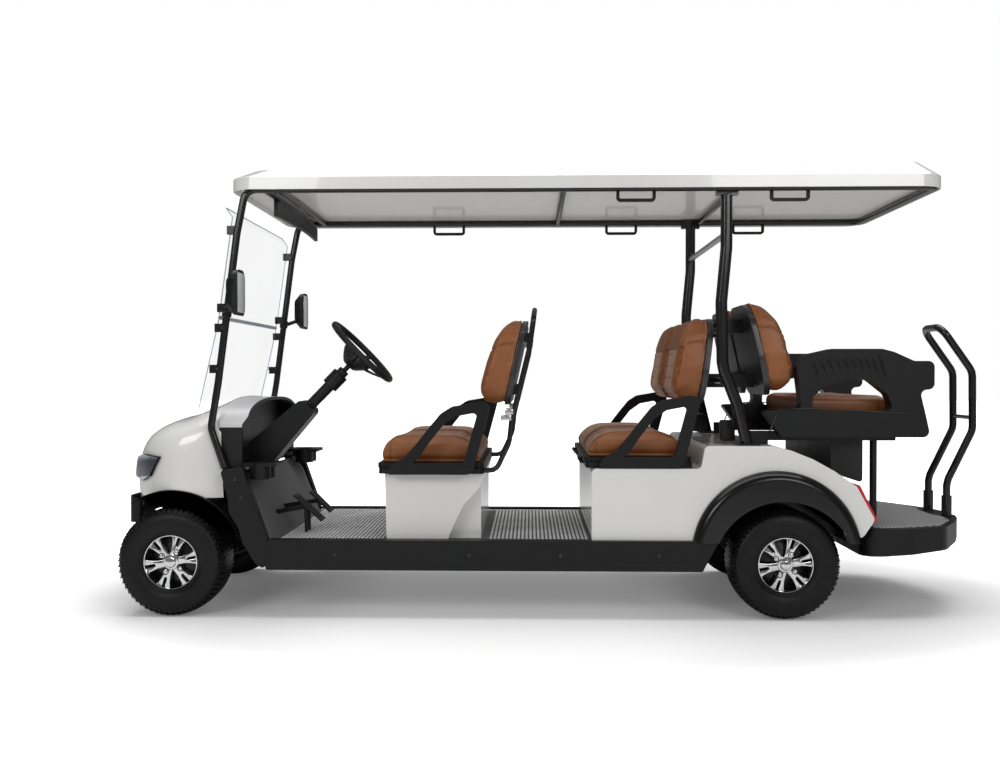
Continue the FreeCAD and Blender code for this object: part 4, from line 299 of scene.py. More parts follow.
def outward(mesh, merge=0.00001, fill=0):
    """Fills holes of up to that many sides, closes doubles and turns every face to the outside."""
    work = bmesh.new()
    work.from_mesh(mesh)
    if fill:
        bmesh.ops.holes_fill(work, edges=work.edges, sides=fill)
    bmesh.ops.remove_doubles(work, verts=work.verts, dist=merge)
    bmesh.ops.recalc_face_normals(work, faces=work.faces)
    work.to_mesh(mesh)
    work.free()
    return mesh


def sheet_of(rows, closed=False):
    """A mesh over rows of points that all have the same count."""
    count = len(rows[0])
    faces = []
    for r in range(len(rows) - 1):
        for k in range(count - 1 + closed):
            ahead = (k + 1) % count
            faces.append((r * count + k, r * count + ahead, (r + 1) * count + ahead, (r + 1) * count + k))
    return mesh_of([point for row in rows for point in row], faces)


def circle(count):
    """Places round a circle of radius 1, as (cosine, sine)."""
    return [(math.cos(k * math.tau / count), math.sin(k * math.tau / count)) for k in range(count)]


def spun(profile, steps, centre):
    """Turns a closed profile of (radius, offset along Y) round the Y axis through centre."""
    rows = [[centre + Vector((radius * c, along, radius * s)) for radius, along in profile]
            for c, s in circle(steps)]
    return outward(sheet_of(rows + rows[:1], closed=True))


def joined(meshes):
    """One mesh out of several."""
    work = bmesh.new()
    for mesh in meshes:
        work.from_mesh(mesh)
        bpy.data.meshes.remove(mesh)
    mesh = bpy.data.meshes.new("joined")
    work.to_mesh(mesh)
    work.free()
    return mesh


tyre_radius = 0.230
shoulder_radius = 0.2085
tread_half = 0.083
crown_drop = 0.0045
groove_depth = 0.006
tread_steps = 58
# Half of the carcass, as (radius, offset along Y), from the bead to the middle of the belt.
carcass_half = (
    (0.118, 0.086), (0.1225, 0.0905), (0.1275, 0.0895), (0.131, 0.0935), (0.142, 0.0985), (0.158, 0.1015),
    (0.174, 0.1025), (0.19, 0.1), (0.2, 0.097), (shoulder_radius, 0.0925), (0.2185, tread_half),
    (0.2235, 0.05), (0.2245, 0.0),
)
carcass = [(radius, -along) for radius, along in carcass_half] + list(carcass_half[-2::-1]) + [(0.116, 0.0)]
# The blocks of one tread step: polygons of (turn share, offset along Y), mirrored to the other side.
tread_blocks = (
    ((0.06, 0.004), (0.46, 0.004), (0.52, 0.026), (0.1, 0.026)),
    ((0.56, -0.004), (0.96, 0.0), (1.0, 0.022), (0.6, 0.026)),
    ((0.12, 0.031), (0.44, 0.031), (0.5, 0.056), (0.2, 0.056)),
    ((0.56, 0.031), (0.92, 0.031), (0.98, 0.056), (0.6, 0.056)),
)
lug_start, lug_long, lug_short = 0.1, 0.72, 0.62
lug_inner, lug_bend, lug_foot, lug_taper = 0.061, 0.086, 0.0965, 0.97


def tread(centre):
    """The blocks of one tyre: rows round the belt, and lugs that turn down over the shoulders."""
    work = bmesh.new()

    def solid(ring):
        """ring: pairs of (low point, high point) round a block."""
        low = [work.verts.new(pair[0]) for pair in ring]
        high = [work.verts.new(pair[1]) for pair in ring]
        work.faces.new(high)
        for k in range(len(ring)):
            follow = (k + 1) % len(ring)
            work.faces.new((low[k], low[follow], high[follow], high[k]))

    def at(turn_share, along, radius):
        angle = turn_share * math.tau / tread_steps
        return centre + Vector((radius * math.cos(angle), along, radius * math.sin(angle)))

    def corner_at(turn_share, along, taper=1.0):
        crown = tyre_radius - crown_drop * (along / tread_half) ** 2
        top = shoulder_radius if abs(along) == lug_foot else crown
        return at(turn_share, along * taper, top - groove_depth), at(turn_share, along, top)

    for step in range(tread_steps):
        lug_end = lug_start + (lug_long if step % 2 else lug_short)
        lug = ((lug_start, lug_inner), (lug_end, lug_inner), (lug_end + 0.05, lug_bend),
               (lug_end + 0.03, lug_foot), (lug_start + 0.08, lug_foot), (lug_start, lug_bend))
        for side in (1, -1):
            start = step if side > 0 else step + 0.5
            for shape in tread_blocks:
                solid([corner_at(start + t, side * y) for t, y in shape])
            solid([corner_at(start + t, side * y, lug_taper) for t, y in lug])
    bmesh.ops.recalc_face_normals(work, faces=work.faces)
    mesh = bpy.data.meshes.new("tread")
    work.to_mesh(mesh)
    work.free()
    return mesh


wheel_corners = ("front_left", "front_right", "rear_left", "rear_right")
for corner in wheel_corners:
    low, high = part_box("tyre_" + corner)
    centre = (low + high) / 2
    made("tyre_dressed_" + corner, [spun(carcass, 96, centre), tread(centre)], rubber,
         "wheel_" + corner, ["tyre_" + corner], smooth=0.5)


# Rims: cast alloy with six twin-prong spokes and a thin lip, machined bright. The web and the barrel
# behind them are gloss black, and four bright nuts stand in black wells round a plain domed cap.

alloy = Finish("machined_alloy", "wheel_alloy", (0.78, 0.78, 0.79), 0.16, metallic=1.0)
lathe = alloy.noise(3.0, 2.0, (1.0, 60.0, 1.0))
alloy.wear(base_color=alloy.mixed(alloy.noise(45.0, 3.0).ramp(0.3, 0.7), alloy.colour, alloy.shade(0.82)),
           roughness=lathe * 0.08 + 0.1)
pocket = Finish("pocket_black", "wheel_alloy", (0.006, 0.006, 0.0065), 0.25, 0.4)
pocket.patchy(30.0, 3.0, 0.15, 0.2)


def block(points, low, high, axis=2):
    """A prism over a polygon of 2D points, from low to high along an axis; a plain mesh."""
    rows = [(*point[:axis], level, *point[axis:]) for level in (low, high) for point in points]
    count = len(points)
    faces = [tuple(range(count)), tuple(range(count, 2 * count))]
    faces += [(k, (k + 1) % count, count + (k + 1) % count, count + k) for k in range(count)]
    return outward(mesh_of(rows, faces))


def live_mesh(obj):
    """The object's mesh as its modifiers leave it."""
    view = bpy.context.evaluated_depsgraph_get()
    return bpy.data.meshes.new_from_object(obj.evaluated_get(view))


def spent(obj):
    """The mesh of an object that isn't needed any more."""
    mesh = live_mesh(obj)
    bpy.data.objects.remove(obj)
    return mesh


def rounded(mesh, width, segments=2):
    """The mesh with its sharp edges rounded."""
    work = placed("rounded", mesh)
    edge_rounding(work, width, 0.5, segments)
    return spent(work)


def turned_round(mesh, angle, centre):
    """A copy turned about the Y axis through a point."""
    copy = mesh.copy()
    copy.transform(Matrix.Translation(centre) @ Matrix.Rotation(angle, 4, "Y"))
    return copy


# A spoke in the wheel's own plane, pointing along +X: (along, across), with its slot from the tip.
spoke_half = (
    (0.018, 0.0165), (0.04, 0.0155), (0.062, 0.0165), (0.085, 0.0215), (0.1, 0.0265), (0.1085, 0.0345),
    (0.1115, 0.0305), (0.1115, 0.0075), (0.105, 0.0062), (0.074, 0.0058), (0.0695, 0.0038), (0.068, 0.0),
)
spoke_ring = list(spoke_half) + [(x, -z) for x, z in spoke_half[-2::-1]]
spoke_thickness, spoke_turn = 0.016, 0.2
nut_radius, nut_circle, nut_turn = 0.0078, 0.0475, 0.55
nut = [(nut_radius * c, nut_radius * s) for c, s in circle(6)]
face_y = 0.559
# Turned parts of a rim, as (radius, distance out from the face).
lip = ((0.1095, -0.01), (0.1095, 0.004), (0.1115, 0.0085), (0.1145, 0.009), (0.1165, 0.006), (0.1165, -0.01))
dome = ((0.0001, 0.0155), (0.01, 0.015), (0.019, 0.0125), (0.0225, 0.0085), (0.0235, 0.003), (0.03, 0.002),
        (0.034, -0.002), (0.034, -0.014), (0.0001, -0.014))
well = ((0.0085, -0.004), (0.0125, 0.001), (0.0145, 0.001), (0.0145, -0.016), (0.0085, -0.016))
barrel = ((0.1155, 0.0005), (0.1165, -0.163), (0.1245, -0.166), (0.1245, -0.168), (0.112, -0.167),
          (0.1085, -0.0765), (0.1095, -0.012))
web = ((0.109, -0.05), (0.109, -0.054), (0.02, -0.04), (0.02, -0.016), (0.034, -0.018), (0.04, -0.034))
for corner in wheel_corners:
    low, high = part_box("rim_" + corner)
    side = 1 if corner.endswith("left") else -1
    middle = (low + high) / 2
    axle = Vector((middle[0], 0.0, middle[2]))

    def plate(outline, inner, outer):
        return block(outline, *sorted((side * (face_y + inner), side * (face_y + outer))), axis=1)

    def turned(profile, steps, centre):
        return spun([(radius, side * (face_y + out)) for radius, out in profile], steps, centre)

    prong = rounded(plate(spoke_ring, -spoke_thickness, -0.001), 0.0028)
    bright_meshes = [turned_round(prong, k * math.pi / 3 + spoke_turn, axle) for k in range(6)]
    bpy.data.meshes.remove(prong)
    bright_meshes += [turned(lip, 96, axle), turned(dome, 48, axle)]
    dark_meshes = []
    for k in range(4):
        angle = k * math.pi / 2 + nut_turn
        seat = axle + Vector((nut_circle * math.cos(angle), 0.0, nut_circle * math.sin(angle)))
        dark_meshes.append(turned(well, 24, seat))
        cap = rounded(plate(nut, -0.012, 0.006), 0.0016)
        bright_meshes.append(turned_round(cap, 0.3 * k, seat))
        bpy.data.meshes.remove(cap)
    dark_meshes += [turned(barrel, 72, axle), turned(web, 72, axle)]
    made("rim_faces_" + corner, bright_meshes, alloy, "wheel_" + corner, ["rim_" + corner], smooth=0.5)
    made("rim_pockets_" + corner, dark_meshes, pocket, "wheel_" + corner)


# Bodywork: rear body, seat box and roof are moulded plastic in a warm gloss white, with a faint ripple
# from the mould. The nose further down has the same finish.

gloss_white = Finish("body_gloss_white", "white_body", (0.74, 0.735, 0.72), 0.22, coat_weight=0.6)
gloss_white.wear(base_color=gloss_white.mixed(
    gloss_white.noise(2.2, 4.0).ramp(0.4, 0.7), gloss_white.colour, gloss_white.shade(0.97),
))
gloss_white.grain(5.0, 2.0, 0.0015, 0.25)
coat(gloss_white, moulded_edge, "rear_body", "front_pedestal", angle=0.5)
coat(gloss_white, moulded_edge, "roof", angle=0.45)


# Dark trims: sills, corner covers, bumper, arm rests and trays in grained black plastic. The dash has
# a pale grey painted highlight over the rim of its hood, and the wheel flares are glossier.

grained = Finish("grained_black_plastic", "black_plastic", (0.0045, 0.0047, 0.0058), 0.36, 0.3)
grained.patchy(14.0, 4.0, 0.16, 0.36)
grained.bumped(grained.cells(650.0), 0.0003, 0.5)
coat(grained, moulded_edge, "sills", "quarter_covers", "front_bumper", "cup_holders", "armrests", "rear_tray",
     "steering_column", "seat_rings", "front_seat_lid", "middle_seat_lid", "rear_seat_board",
     "roof_handles", "footplate", "mirrors", angle=0.55)

hood = Finish("dash_plastic", "black_plastic", (0.0065, 0.0066, 0.0075), 0.34, 0.4)
# Painted highlight: the hood's faces ahead of a line, above a height and turned up and outward get a pale
# grey in place of the light that its rim catches.
band_rear_x, band_low_z, highlight_grey = 1.318, 0.8, (0.62, 0.62, 0.63, 1.0)
side_way = (hood.axis("Y") > 0.0) * 2.0 - 1.0
outer_side = (hood.facing("Z") + hood.facing("Y") * side_way) > 0.25
painted_highlight_band = (hood.axis("X") > band_rear_x) * (hood.axis("Z") > band_low_z) * outer_side
hood.wear(base_color=hood.mixed(painted_highlight_band, hood.colour, highlight_grey),
          roughness=hood.noise(14.0, 4.0) * 0.12 + 0.28)
hood.bumped(hood.cells(650.0), 0.0003, 0.4)
coat(hood, moulded_edge, "dash", angle=0.55)

gloss_black = Finish("gloss_black_plastic", "gloss_black_plastic", (0.004, 0.004, 0.0045), 0.2, 0.4)
gloss_black.patchy(11.0, 4.0, 0.1, 0.16)
gloss_black.grain(900.0, 2.0, 0.0001, 0.3)
coat(gloss_black, moulded_edge, "wheel_flares", angle=0.5)


# Deck: ribbed rubber matting, laid across the cart in two fields with plain light edge strips. The
# ribs are copies of one bar; the mat between them is darker.

deck = Finish("deck_rubber", "deck_grey", (0.6, 0.6, 0.605), 0.6, 0.3)
worn = deck.noise(8.0, 5.0).ramp(0.35, 0.8)
deck.wear(base_color=deck.mixed(worn, deck.colour, deck.shade(1.3)), roughness=worn * 0.1 + 0.52)
deck.grain(500.0, 3.0, 0.0004, 0.5)
mat = Finish("deck_mat", "deck_grey", (0.12, 0.12, 0.121), 0.65, 0.3)
mat.patchy(60.0, 3.0, 0.2, 0.5)
mat.bumped(mat.cells(240.0), 0.0005, 0.5)
coat(mat, tube_edge, "floor_pan", angle=0.6)


copies = Pattern("copies_at_points", scale=1.0)
source = copies.tree.nodes.new("GeometryNodeObjectInfo")
facing_way = copies.node("GeometryNodeInputNamedAttribute", {"Name": "facing"}, data_type="FLOAT_VECTOR")
placed_copies = copies.node("GeometryNodeInstanceOnPoints", {
    "Points": copies.given("Geometry"), "Instance": Wire(copies, source.outputs["Geometry"]),
    "Rotation": copies.node("FunctionNodeAlignRotationToVector", {"Vector": facing_way}, axis="Z"),
    "Scale": copies.given("scale"),
})
copies.ends(copies.node("GeometryNodeRealizeInstances", {"Geometry": placed_copies}))


def repeated(shape, places, facings=(), scale=1.0):
    """One mesh with a copy of a shape at each place, turned from +Z to its facing if there is one."""
    points = mesh_of(places, [])
    if facings:
        points.attributes.new("facing", "FLOAT_VECTOR", "POINT").data.foreach_set(
            "vector", [part for facing in facings for part in facing])
    template, carrier = placed("shape", shape), placed("points", points)
    source.inputs["Object"].default_value = template
    copies.on(carrier, scale=scale)
    result = spent(carrier)
    bpy.data.objects.remove(template)
    return result


deck_z, rib_sink = 0.320, 0.0002
rib_pitch, rib_foot, rib_crest, rib_tall, rib_reach = 0.0172, 0.00525, 0.00378, 0.0032, 0.515
strip_y, strip_half = 0.5275, 0.0115


def rib_field(x_from, x_to):
    """Ribs across the cart, each a low bar with sloped sides."""
    section = [(-rib_foot, 0.0), (rib_foot, 0.0), (rib_crest, rib_tall), (-rib_crest, rib_tall)]
    bar = block(section, -rib_reach, rib_reach, axis=1)
    count = int((x_to - x_from) / rib_pitch)
    return repeated(bar, [(x_from + rib_pitch * (k + 0.5), 0.0, deck_z - rib_sink) for k in range(count)])


def slab(x, y, z):
    """A plain box between a pair of places along each axis."""
    return block([(x[0], y[0]), (x[1], y[0]), (x[1], y[1]), (x[0], y[1])], *z)


def around(middle, half):
    return middle - half, middle + half


ribs = [rib_field(0.735, 1.195), rib_field(-0.145, 0.3)]
for side in (1, -1):
    strip_across = around(side * strip_y, strip_half)
    ribs.append(slab((-0.15, 1.2), strip_across, (deck_z - rib_sink, deck_z + rib_tall)))
made("deck_ribs", ribs, deck, "chassis", smooth=0.4)


# Seats: moulded pads in brown leather, blown up as bags of air over their solids and then drawn in
# along their seams. The inserts are paler, partly a lighter leather and partly a painted sheen, in fluted
# panels with short cross pleats.

hide = Finish("brown_leather", "brown_leather", (0.28, 0.09, 0.021), 0.4)
insert_share = hide.attribute("insert")
seam_share = hide.attribute("seam")
tone = hide.noise(7.0, 4.0).ramp(0.3, 0.75)
outer_hide = hide.mixed(tone, hide.colour, hide.shade(0.82))
# The inserts' pale browns are partly a lighter leather and partly a painted sheen, the soft light the leather
# catches.
insert_painted_sheen = hide.mixed(tone, (0.5, 0.3, 0.21, 1.0), (0.42, 0.25, 0.17, 1.0))
thread_dark = (0.045, 0.018, 0.01, 1.0)
hide.wear(
    base_color=hide.mixed(seam_share * 0.75, hide.mixed(insert_share, outer_hide, insert_painted_sheen), thread_dark),
    roughness=hide.noise(40.0, 4.0) * 0.12 + 0.36 + insert_share * 0.06,
)
hide.bumped(hide.cells(330.0) * 0.6 + hide.noise(120.0, 4.0) * 0.5, 0.0004, 0.55)


def points_of(mesh):
    flat = np.empty(len(mesh.vertices) * 3)
    mesh.vertices.foreach_get("co", flat)
    return flat.reshape(-1, 3)


def normals_of(mesh):
    flat = np.empty(len(mesh.vertices) * 3)
    mesh.vertex_normals.foreach_get("vector", flat)
    return flat.reshape(-1, 3)


def shifted(mesh, points):
    mesh.vertices.foreach_set("co", points.ravel())
    mesh.update()


def step_up(values, low, high):
    share = np.clip((values - low) / (high - low), 0.0, 1.0)
    return share * share * (3.0 - 2.0 * share)


def groove(distance, width):
    return np.exp(-(distance / width) ** 2)


pad_voxel, pad_inset, pad_most, pad_slack, pad_fill = 0.0105, 0.005, 0.013, 0.004, 0.85
air_pressure, air_steps = 4.0, 20


def blown(node, rest_way):
    """A node's solid as an even bag, smoothed and blown up; it stays flat on the side it rests on."""
    work = placed("bag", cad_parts[node].data.copy())
    work.modifiers.new("joined", "WELD").merge_threshold = weld_reach
    even = work.modifiers.new("even", "REMESH")
    even.mode = "VOXEL"
    even.voxel_size = pad_voxel
    work.data = live_mesh(work)
    work.modifiers.clear()
    soft = work.modifiers.new("soft", "SMOOTH")
    soft.factor = 0.5
    soft.iterations = 5
    work.data = live_mesh(work)
    work.modifiers.clear()
    resting = step_up(normals_of(work.data) @ np.array(rest_way), 0.75, 0.95)[:, None]
    start = points_of(work.data) - normals_of(work.data) * pad_inset * (1.0 - resting)
    shifted(work.data, start)
    bag = work.modifiers.new("air", "CLOTH")
    bag.settings.use_pressure = True
    bag.settings.uniform_pressure_force = air_pressure
    bag.settings.effector_weights.gravity = 0.0
    for step in range(1, air_steps + 1):
        bpy.context.scene.frame_set(step)
    moved = points_of(live_mesh(work)) - start
    work.modifiers.clear()
    bpy.context.scene.frame_set(1)
    reach = np.linalg.norm(moved, axis=1)[:, None]
    held = np.minimum(1.0, pad_most / np.maximum(reach, 0.00001))
    shifted(work.data, start + moved * held * (1.0 - resting))
    work.modifiers.new("finer", "SUBSURF").levels = 1
    return spent(work)


def upholstered(name, node, body, rest_way, sewn):
    """Blows up a node's pad, draws its seams in and keeps it inside the solid's own box."""
    mesh = blown(node, rest_way)
    points, normals = points_of(mesh), normals_of(mesh)
    low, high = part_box(node)
    insert, drawn = sewn(points, normals, low, high)
    depth = sum(line * deep for line, deep, dark in drawn)
    seam = np.clip(sum(line * dark for line, deep, dark in drawn), 0.0, 1.0)
    points = np.clip(points - normals * depth[:, None], np.array(low) - pad_slack, np.array(high) + pad_slack)
    shifted(mesh, points)
    for label, values in (("insert", insert), ("seam", seam)):
        mesh.attributes.new(label, "FLOAT", "POINT").data.foreach_set("value", values)
    made(name, mesh, hide, body, [node], smooth=1.2)


# Both kinds of pad give the share of the insert, and their seams as (line, depth, darkness).
seam_wide, seam_soft, pleat_wide, middle_wide = 0.0045, 0.004, 0.0035, 0.012
bench_pleat, back_pleat = 0.058, 0.052


def bench_sewn(place_half, insert_half, front_sign=1.0):
    """The seams of a bench cushion with two places side by side."""

    def sewn(points, normals, low, high):
        front, rear = (high[0], low[0]) if front_sign > 0 else (low[0], high[0])
        x, y = points.T[:2]
        across = np.abs(y) - place_half
        from_front = (front - x) * front_sign
        from_rear = (x - rear) * front_sign
        upward = step_up(normals[:, 2] + 0.6 * front_sign * normals[:, 0], 0.25, 0.6)
        from_edge = np.abs(across) - insert_half
        inside = step_up(-from_edge, 0.0, seam_soft) * step_up(from_rear, 0.03, 0.04) * upward
        edge = groove(from_edge, seam_wide) * upward
        flutes = (groove(across, 0.006) + groove(np.abs(across) - insert_half * 0.55, 0.006)) * inside
        pleats = groove((from_front + 0.012) % bench_pleat - bench_pleat / 2, pleat_wide) * inside
        middle = groove(y, middle_wide) * upward
        side = step_up(np.abs(normals[:, 1]), 0.5, 0.8)
        boxing = (groove(from_front - 0.05, pleat_wide) + groove(from_rear - 0.035, pleat_wide)) * side
        return inside, ((edge, 0.007, 0.9), (flutes, 0.007, 0.35), (pleats, 0.002, 0.3), (middle, 0.012, 0.7),
                        (boxing, 0.0025, 0.6))

    return sewn


def back_sewn(way):
    """The seams of a pair of bucket backs that face along X."""
    place, insert_foot, insert_flare = 0.2575, 0.118, 0.012

    def sewn(points, normals, low, high):
        y, z = points.T[1:]
        across = np.abs(y) - place
        rise = (z - low[2]) / (high[2] - low[2])
        facing = step_up(normals[:, 0] * way + 0.35 * normals[:, 2], 0.15, 0.5)
        to_front = step_up(normals[:, 0] * way, -0.2, 0.8)
        head_line = z - (high[2] - 0.118 - 0.028 * to_front)
        below_head = facing * step_up(-head_line, 0.0, seam_soft)
        insert_half = insert_foot + insert_flare * step_up(rise, 0.3, 0.8)
        inside = step_up(insert_half - np.abs(across), 0.0, seam_soft) * below_head
        edge = groove(np.abs(across) - insert_half, seam_wide) * below_head
        flutes = groove(np.abs(across) - 0.042, 0.0065) * inside
        pleats = groove((z - low[2] + 0.01) % back_pleat - back_pleat / 2, 0.0036) * inside
        skirt = groove(z - low[2] - 0.045, 0.004) * facing
        return inside, ((groove(head_line, 0.0042), 0.004, 0.7), (edge, 0.008, 0.9), (flutes, 0.008, 0.4),
                        (pleats, 0.0035, 0.45), (skirt, 0.003, 0.5))

    return sewn


down, forward, rearward = (0, 0, -1), (1, 0, 0), (-1, 0, 0)
upholstered("cushion_front", "front_cushion", "front_seat", down, bench_sewn(0.25, 0.165))
upholstered("cushion_middle", "middle_cushion", "middle_seat", down, bench_sewn(0.25, 0.165))
upholstered("cushion_rear", "rear_cushion", "rear_seat", down, bench_sewn(0.21, 0.15, -1.0))
upholstered("backs_front", "front_backs", "chassis", rearward, back_sewn(1.0))
upholstered("backs_middle", "middle_backs", "chassis", rearward, back_sewn(1.0))
upholstered("backs_rear", "rear_backs", "chassis", forward, back_sewn(-1.0))


# Nose: one smooth moulding drawn through fanned sections, with a crease along each side, cut open
# over the front wheels and for the lamps. It has the same gloss white.

# Stations from the tip to the foot of the windshield, as shares of the run, the height and the half
# width: the foot of the section, its crest and its width.
nose_foot_x, nose_run, nose_tall, nose_half = 1.396, 0.5, 0.93, 0.545
nose_stations = (
    (0.958, 0.462, 0.996, 0.511, 0.37), (0.916, 0.469, 0.964, 0.618, 0.50),
    (0.858, 0.480, 0.912, 0.723, 0.63), (0.788, 0.495, 0.842, 0.809, 0.74),
    (0.672, 0.516, 0.722, 0.863, 0.87), (0.548, 0.538, 0.568, 0.897, 0.96),
    (0.417, 0.538, 0.417, 0.918, 1.0), (0.230, 0.538, 0.240, 0.958, 0.985),
    (0.042, 0.538, 0.081, 0.997, 0.945),
)
# A section from its foot over the crest, as (share of the half width, share of the rise).
nose_section = (
    (1.0, 0.0), (1.0, 0.36), (0.984, 0.63), (0.945, 0.775), (0.86, 0.872), (0.72, 0.934), (0.40, 0.985),
    (0.0, 1.0),
)
nose_wall = 0.006
steps_along, steps_around = 6, 5


def through(points, steps):
    """A smooth curve through rows of numbers, with the ends kept."""
    rows = np.array(points, float)
    longer = np.vstack((2 * rows[0] - rows[1], rows, 2 * rows[-1] - rows[-2]))
    curve = []
    for k in range(1, len(rows)):
        before, start, end, after = longer[k - 1:k + 3]
        for share in np.arange(steps) / steps:
            bend = 2 * before - 5 * start + 4 * end - after
            twist = 3 * start - before - 3 * end + after
            curve.append(0.5 * (2 * start + (end - before) * share + bend * share ** 2 + twist * share ** 3))
    curve.append(rows[-1])
    return np.array(curve)


def nose_rows():
    """Rows of points over the nose's skin, one for each station."""
    rows = []
    section = through(nose_section, steps_around)
    both = np.vstack((section, section[-2::-1] * (-1, 1)))
    for foot_x, foot_z, crest_x, crest_z, wide in through(nose_stations, steps_along):
        rows.append([(
            nose_foot_x + nose_run * (foot_x + (crest_x - foot_x) * rise),
            nose_half * wide * width,
            nose_tall * (foot_z + (crest_z - foot_z) * rise),
        ) for width, rise in both])
    return rows


def cut(mesh, tool, operation="DIFFERENCE"):
    """A mesh cut by another, both closed."""
    one, other = placed("cut", mesh), placed("tool", tool)
    saw = one.modifiers.new("cut", "BOOLEAN")
    saw.operation = operation
    saw.object = other
    saw.solver = "EXACT"
    result = spent(one)
    bpy.data.objects.remove(other)
    return result


def solidified(mesh, thickness):
    """A sheet with a wall on its inner side."""
    work = placed("shell", mesh)
    shell = work.modifiers.new("wall", "SOLIDIFY")
    shell.thickness = thickness
    shell.offset = -1.0
    return outward(spent(work))


lamp_rear_x, lamp_low_z, lamp_long, lamp_tall = 1.685, 0.562, 0.25, 0.12
lamp_inner_y, lens_inner_y, past_skin_y = 0.205, 0.21, 0.6
lamp_outline = [
    (lamp_rear_x + lamp_long * x, lamp_low_z + lamp_tall * z)
    for x, z in ((0.0, 0.94), (0.35, 1.0), (1.0, 0.72), (1.0, 0.18), (0.44, 0.0), (0.22, 0.22))
]


def side_prism(points, side, inner_y):
    """A prism over (x, z) points at one side of the cart, from an inner place to past the skin."""
    return block(points, *sorted((side * inner_y, side * past_skin_y)), axis=1)


bay_radius, bay_half = 0.305, 0.7
bay_profile = ((0.001, -bay_half), (bay_radius, -bay_half), (bay_radius, bay_half), (0.001, bay_half))
wheel_bay = spun(bay_profile, 96, Vector((1.63, 0.0, 0.23)))
nose_shell = cut(solidified(outward(sheet_of(nose_rows())), nose_wall), wheel_bay)
for side in (1, -1):
    nose_shell = cut(nose_shell, side_prism(lamp_outline, side, lamp_inner_y))
made("nose_moulding", nose_shell, gloss_white, "chassis", ["front_cowl"], smooth=0.55)


# Headlamps: a smoky blue lens that follows the nose, in a thin dark frame. Both are cut out of a
# thicker copy of the nose's skin, and pale streaks painted in the lens are a painted reflection that
# stands for the lamps behind it.

lens = Finish("lamp_lens", "lamp_clear", (0.16, 0.22, 0.3), 0.06, coat_weight=0.6)
# Painted reflection: pale blue stripes across the lens for the light that the lamps behind it send back.
painted_reflection_streaks = (lens.axis("Z") * 9.0 + lens.axis("X") * 2.0 + lens.noise(9.0, 3.0) * 0.35).part()
lens.wear(base_color=lens.mixed(painted_reflection_streaks.ramp(0.55, 0.9), (0.02, 0.03, 0.045, 1.0), (0.5, 0.6, 0.72, 1.0)),
          roughness=lens.noise(20.0, 2.0) * 0.05 + 0.04)
lens_block = solidified(sheet_of(nose_rows()), 0.016)
frame_block = solidified(sheet_of(nose_rows()), 0.011)
lens_share, frame_outer_share, frame_inner_share = 0.93, 0.995, 0.94


def shrunk(points, share):
    middle = np.mean(points, axis=0)
    return [tuple(middle + (np.array(point) - middle) * share) for point in points]


lens_meshes, frame_meshes = [], []
for side in (1, -1):
    glass_form = side_prism(shrunk(lamp_outline, lens_share), side, lens_inner_y)
    lens_meshes.append(cut(lens_block.copy(), glass_form, "INTERSECT"))
    frame_form = side_prism(shrunk(lamp_outline, frame_outer_share), side, lamp_inner_y)
    ring = cut(frame_block.copy(), frame_form, "INTERSECT")
    frame_meshes.append(cut(ring, side_prism(shrunk(lamp_outline, frame_inner_share), side, lens_inner_y)))
made("headlamp_lenses", lens_meshes, lens, "chassis", ["headlamps"], smooth=0.5)
made("headlamp_frames", frame_meshes, gloss_black, "chassis", smooth=0.5)


# Steering: a black plastic ring with a thick grip, three flat spokes and a bowl-shaped hub, square to
# the leaning column. It turns with the steering wheel's own body.

wheel_grip = Finish("wheel_grip", "black_plastic", (0.009, 0.009, 0.0095), 0.5, 0.35)
wheel_grip.patchy(30.0, 4.0, 0.15, 0.36)
wheel_grip.grain(300.0, 2.0, 0.0001, 0.3)
lean = math.radians(44.3)
wheel_axis = Vector((-math.cos(lean), 0.0, math.sin(lean)))
wheel_up = Vector((math.sin(lean), 0.0, math.cos(lean)))
wheel_side = Vector((0.0, 1.0, 0.0))
wheel_middle = Vector((0.858, 0.270, 1.128))
ring_radius, grip_radius = 0.172, 0.0138


def swept(path, widths, sides=10, closed=False, flat=1.0, flat_way=None):
    """A bar along a path, with a radius at each point; flat makes it thinner along one way."""
    count = len(path)
    rows = []
    normal = None
    for k, at in enumerate(path):
        before = path[k - 1] if k or closed else at
        after = path[(k + 1) % count] if k < count - 1 or closed else at
        along = (after - before).normalized()
        if normal is None:
            normal = Vector(flat_way) if flat_way else along.orthogonal()
        normal = (normal - along * normal.dot(along)).normalized()
        other = along.cross(normal)
        radius = widths[k] if hasattr(widths, "__len__") else widths
        rows.append([at + normal * (radius * flat * c) + other * (radius * s) for c, s in circle(sides)])
    if closed:
        rows.append(rows[0])
    return outward(sheet_of(rows, closed=True), fill=0 if closed else sides)


def on_wheel(radius, angle, rise):
    """A point of the steering wheel: out from its middle, turned from the top, and along its axis."""
    return (wheel_middle + wheel_up * (radius * math.cos(angle)) + wheel_side * (radius * math.sin(angle))
            + wheel_axis * rise)


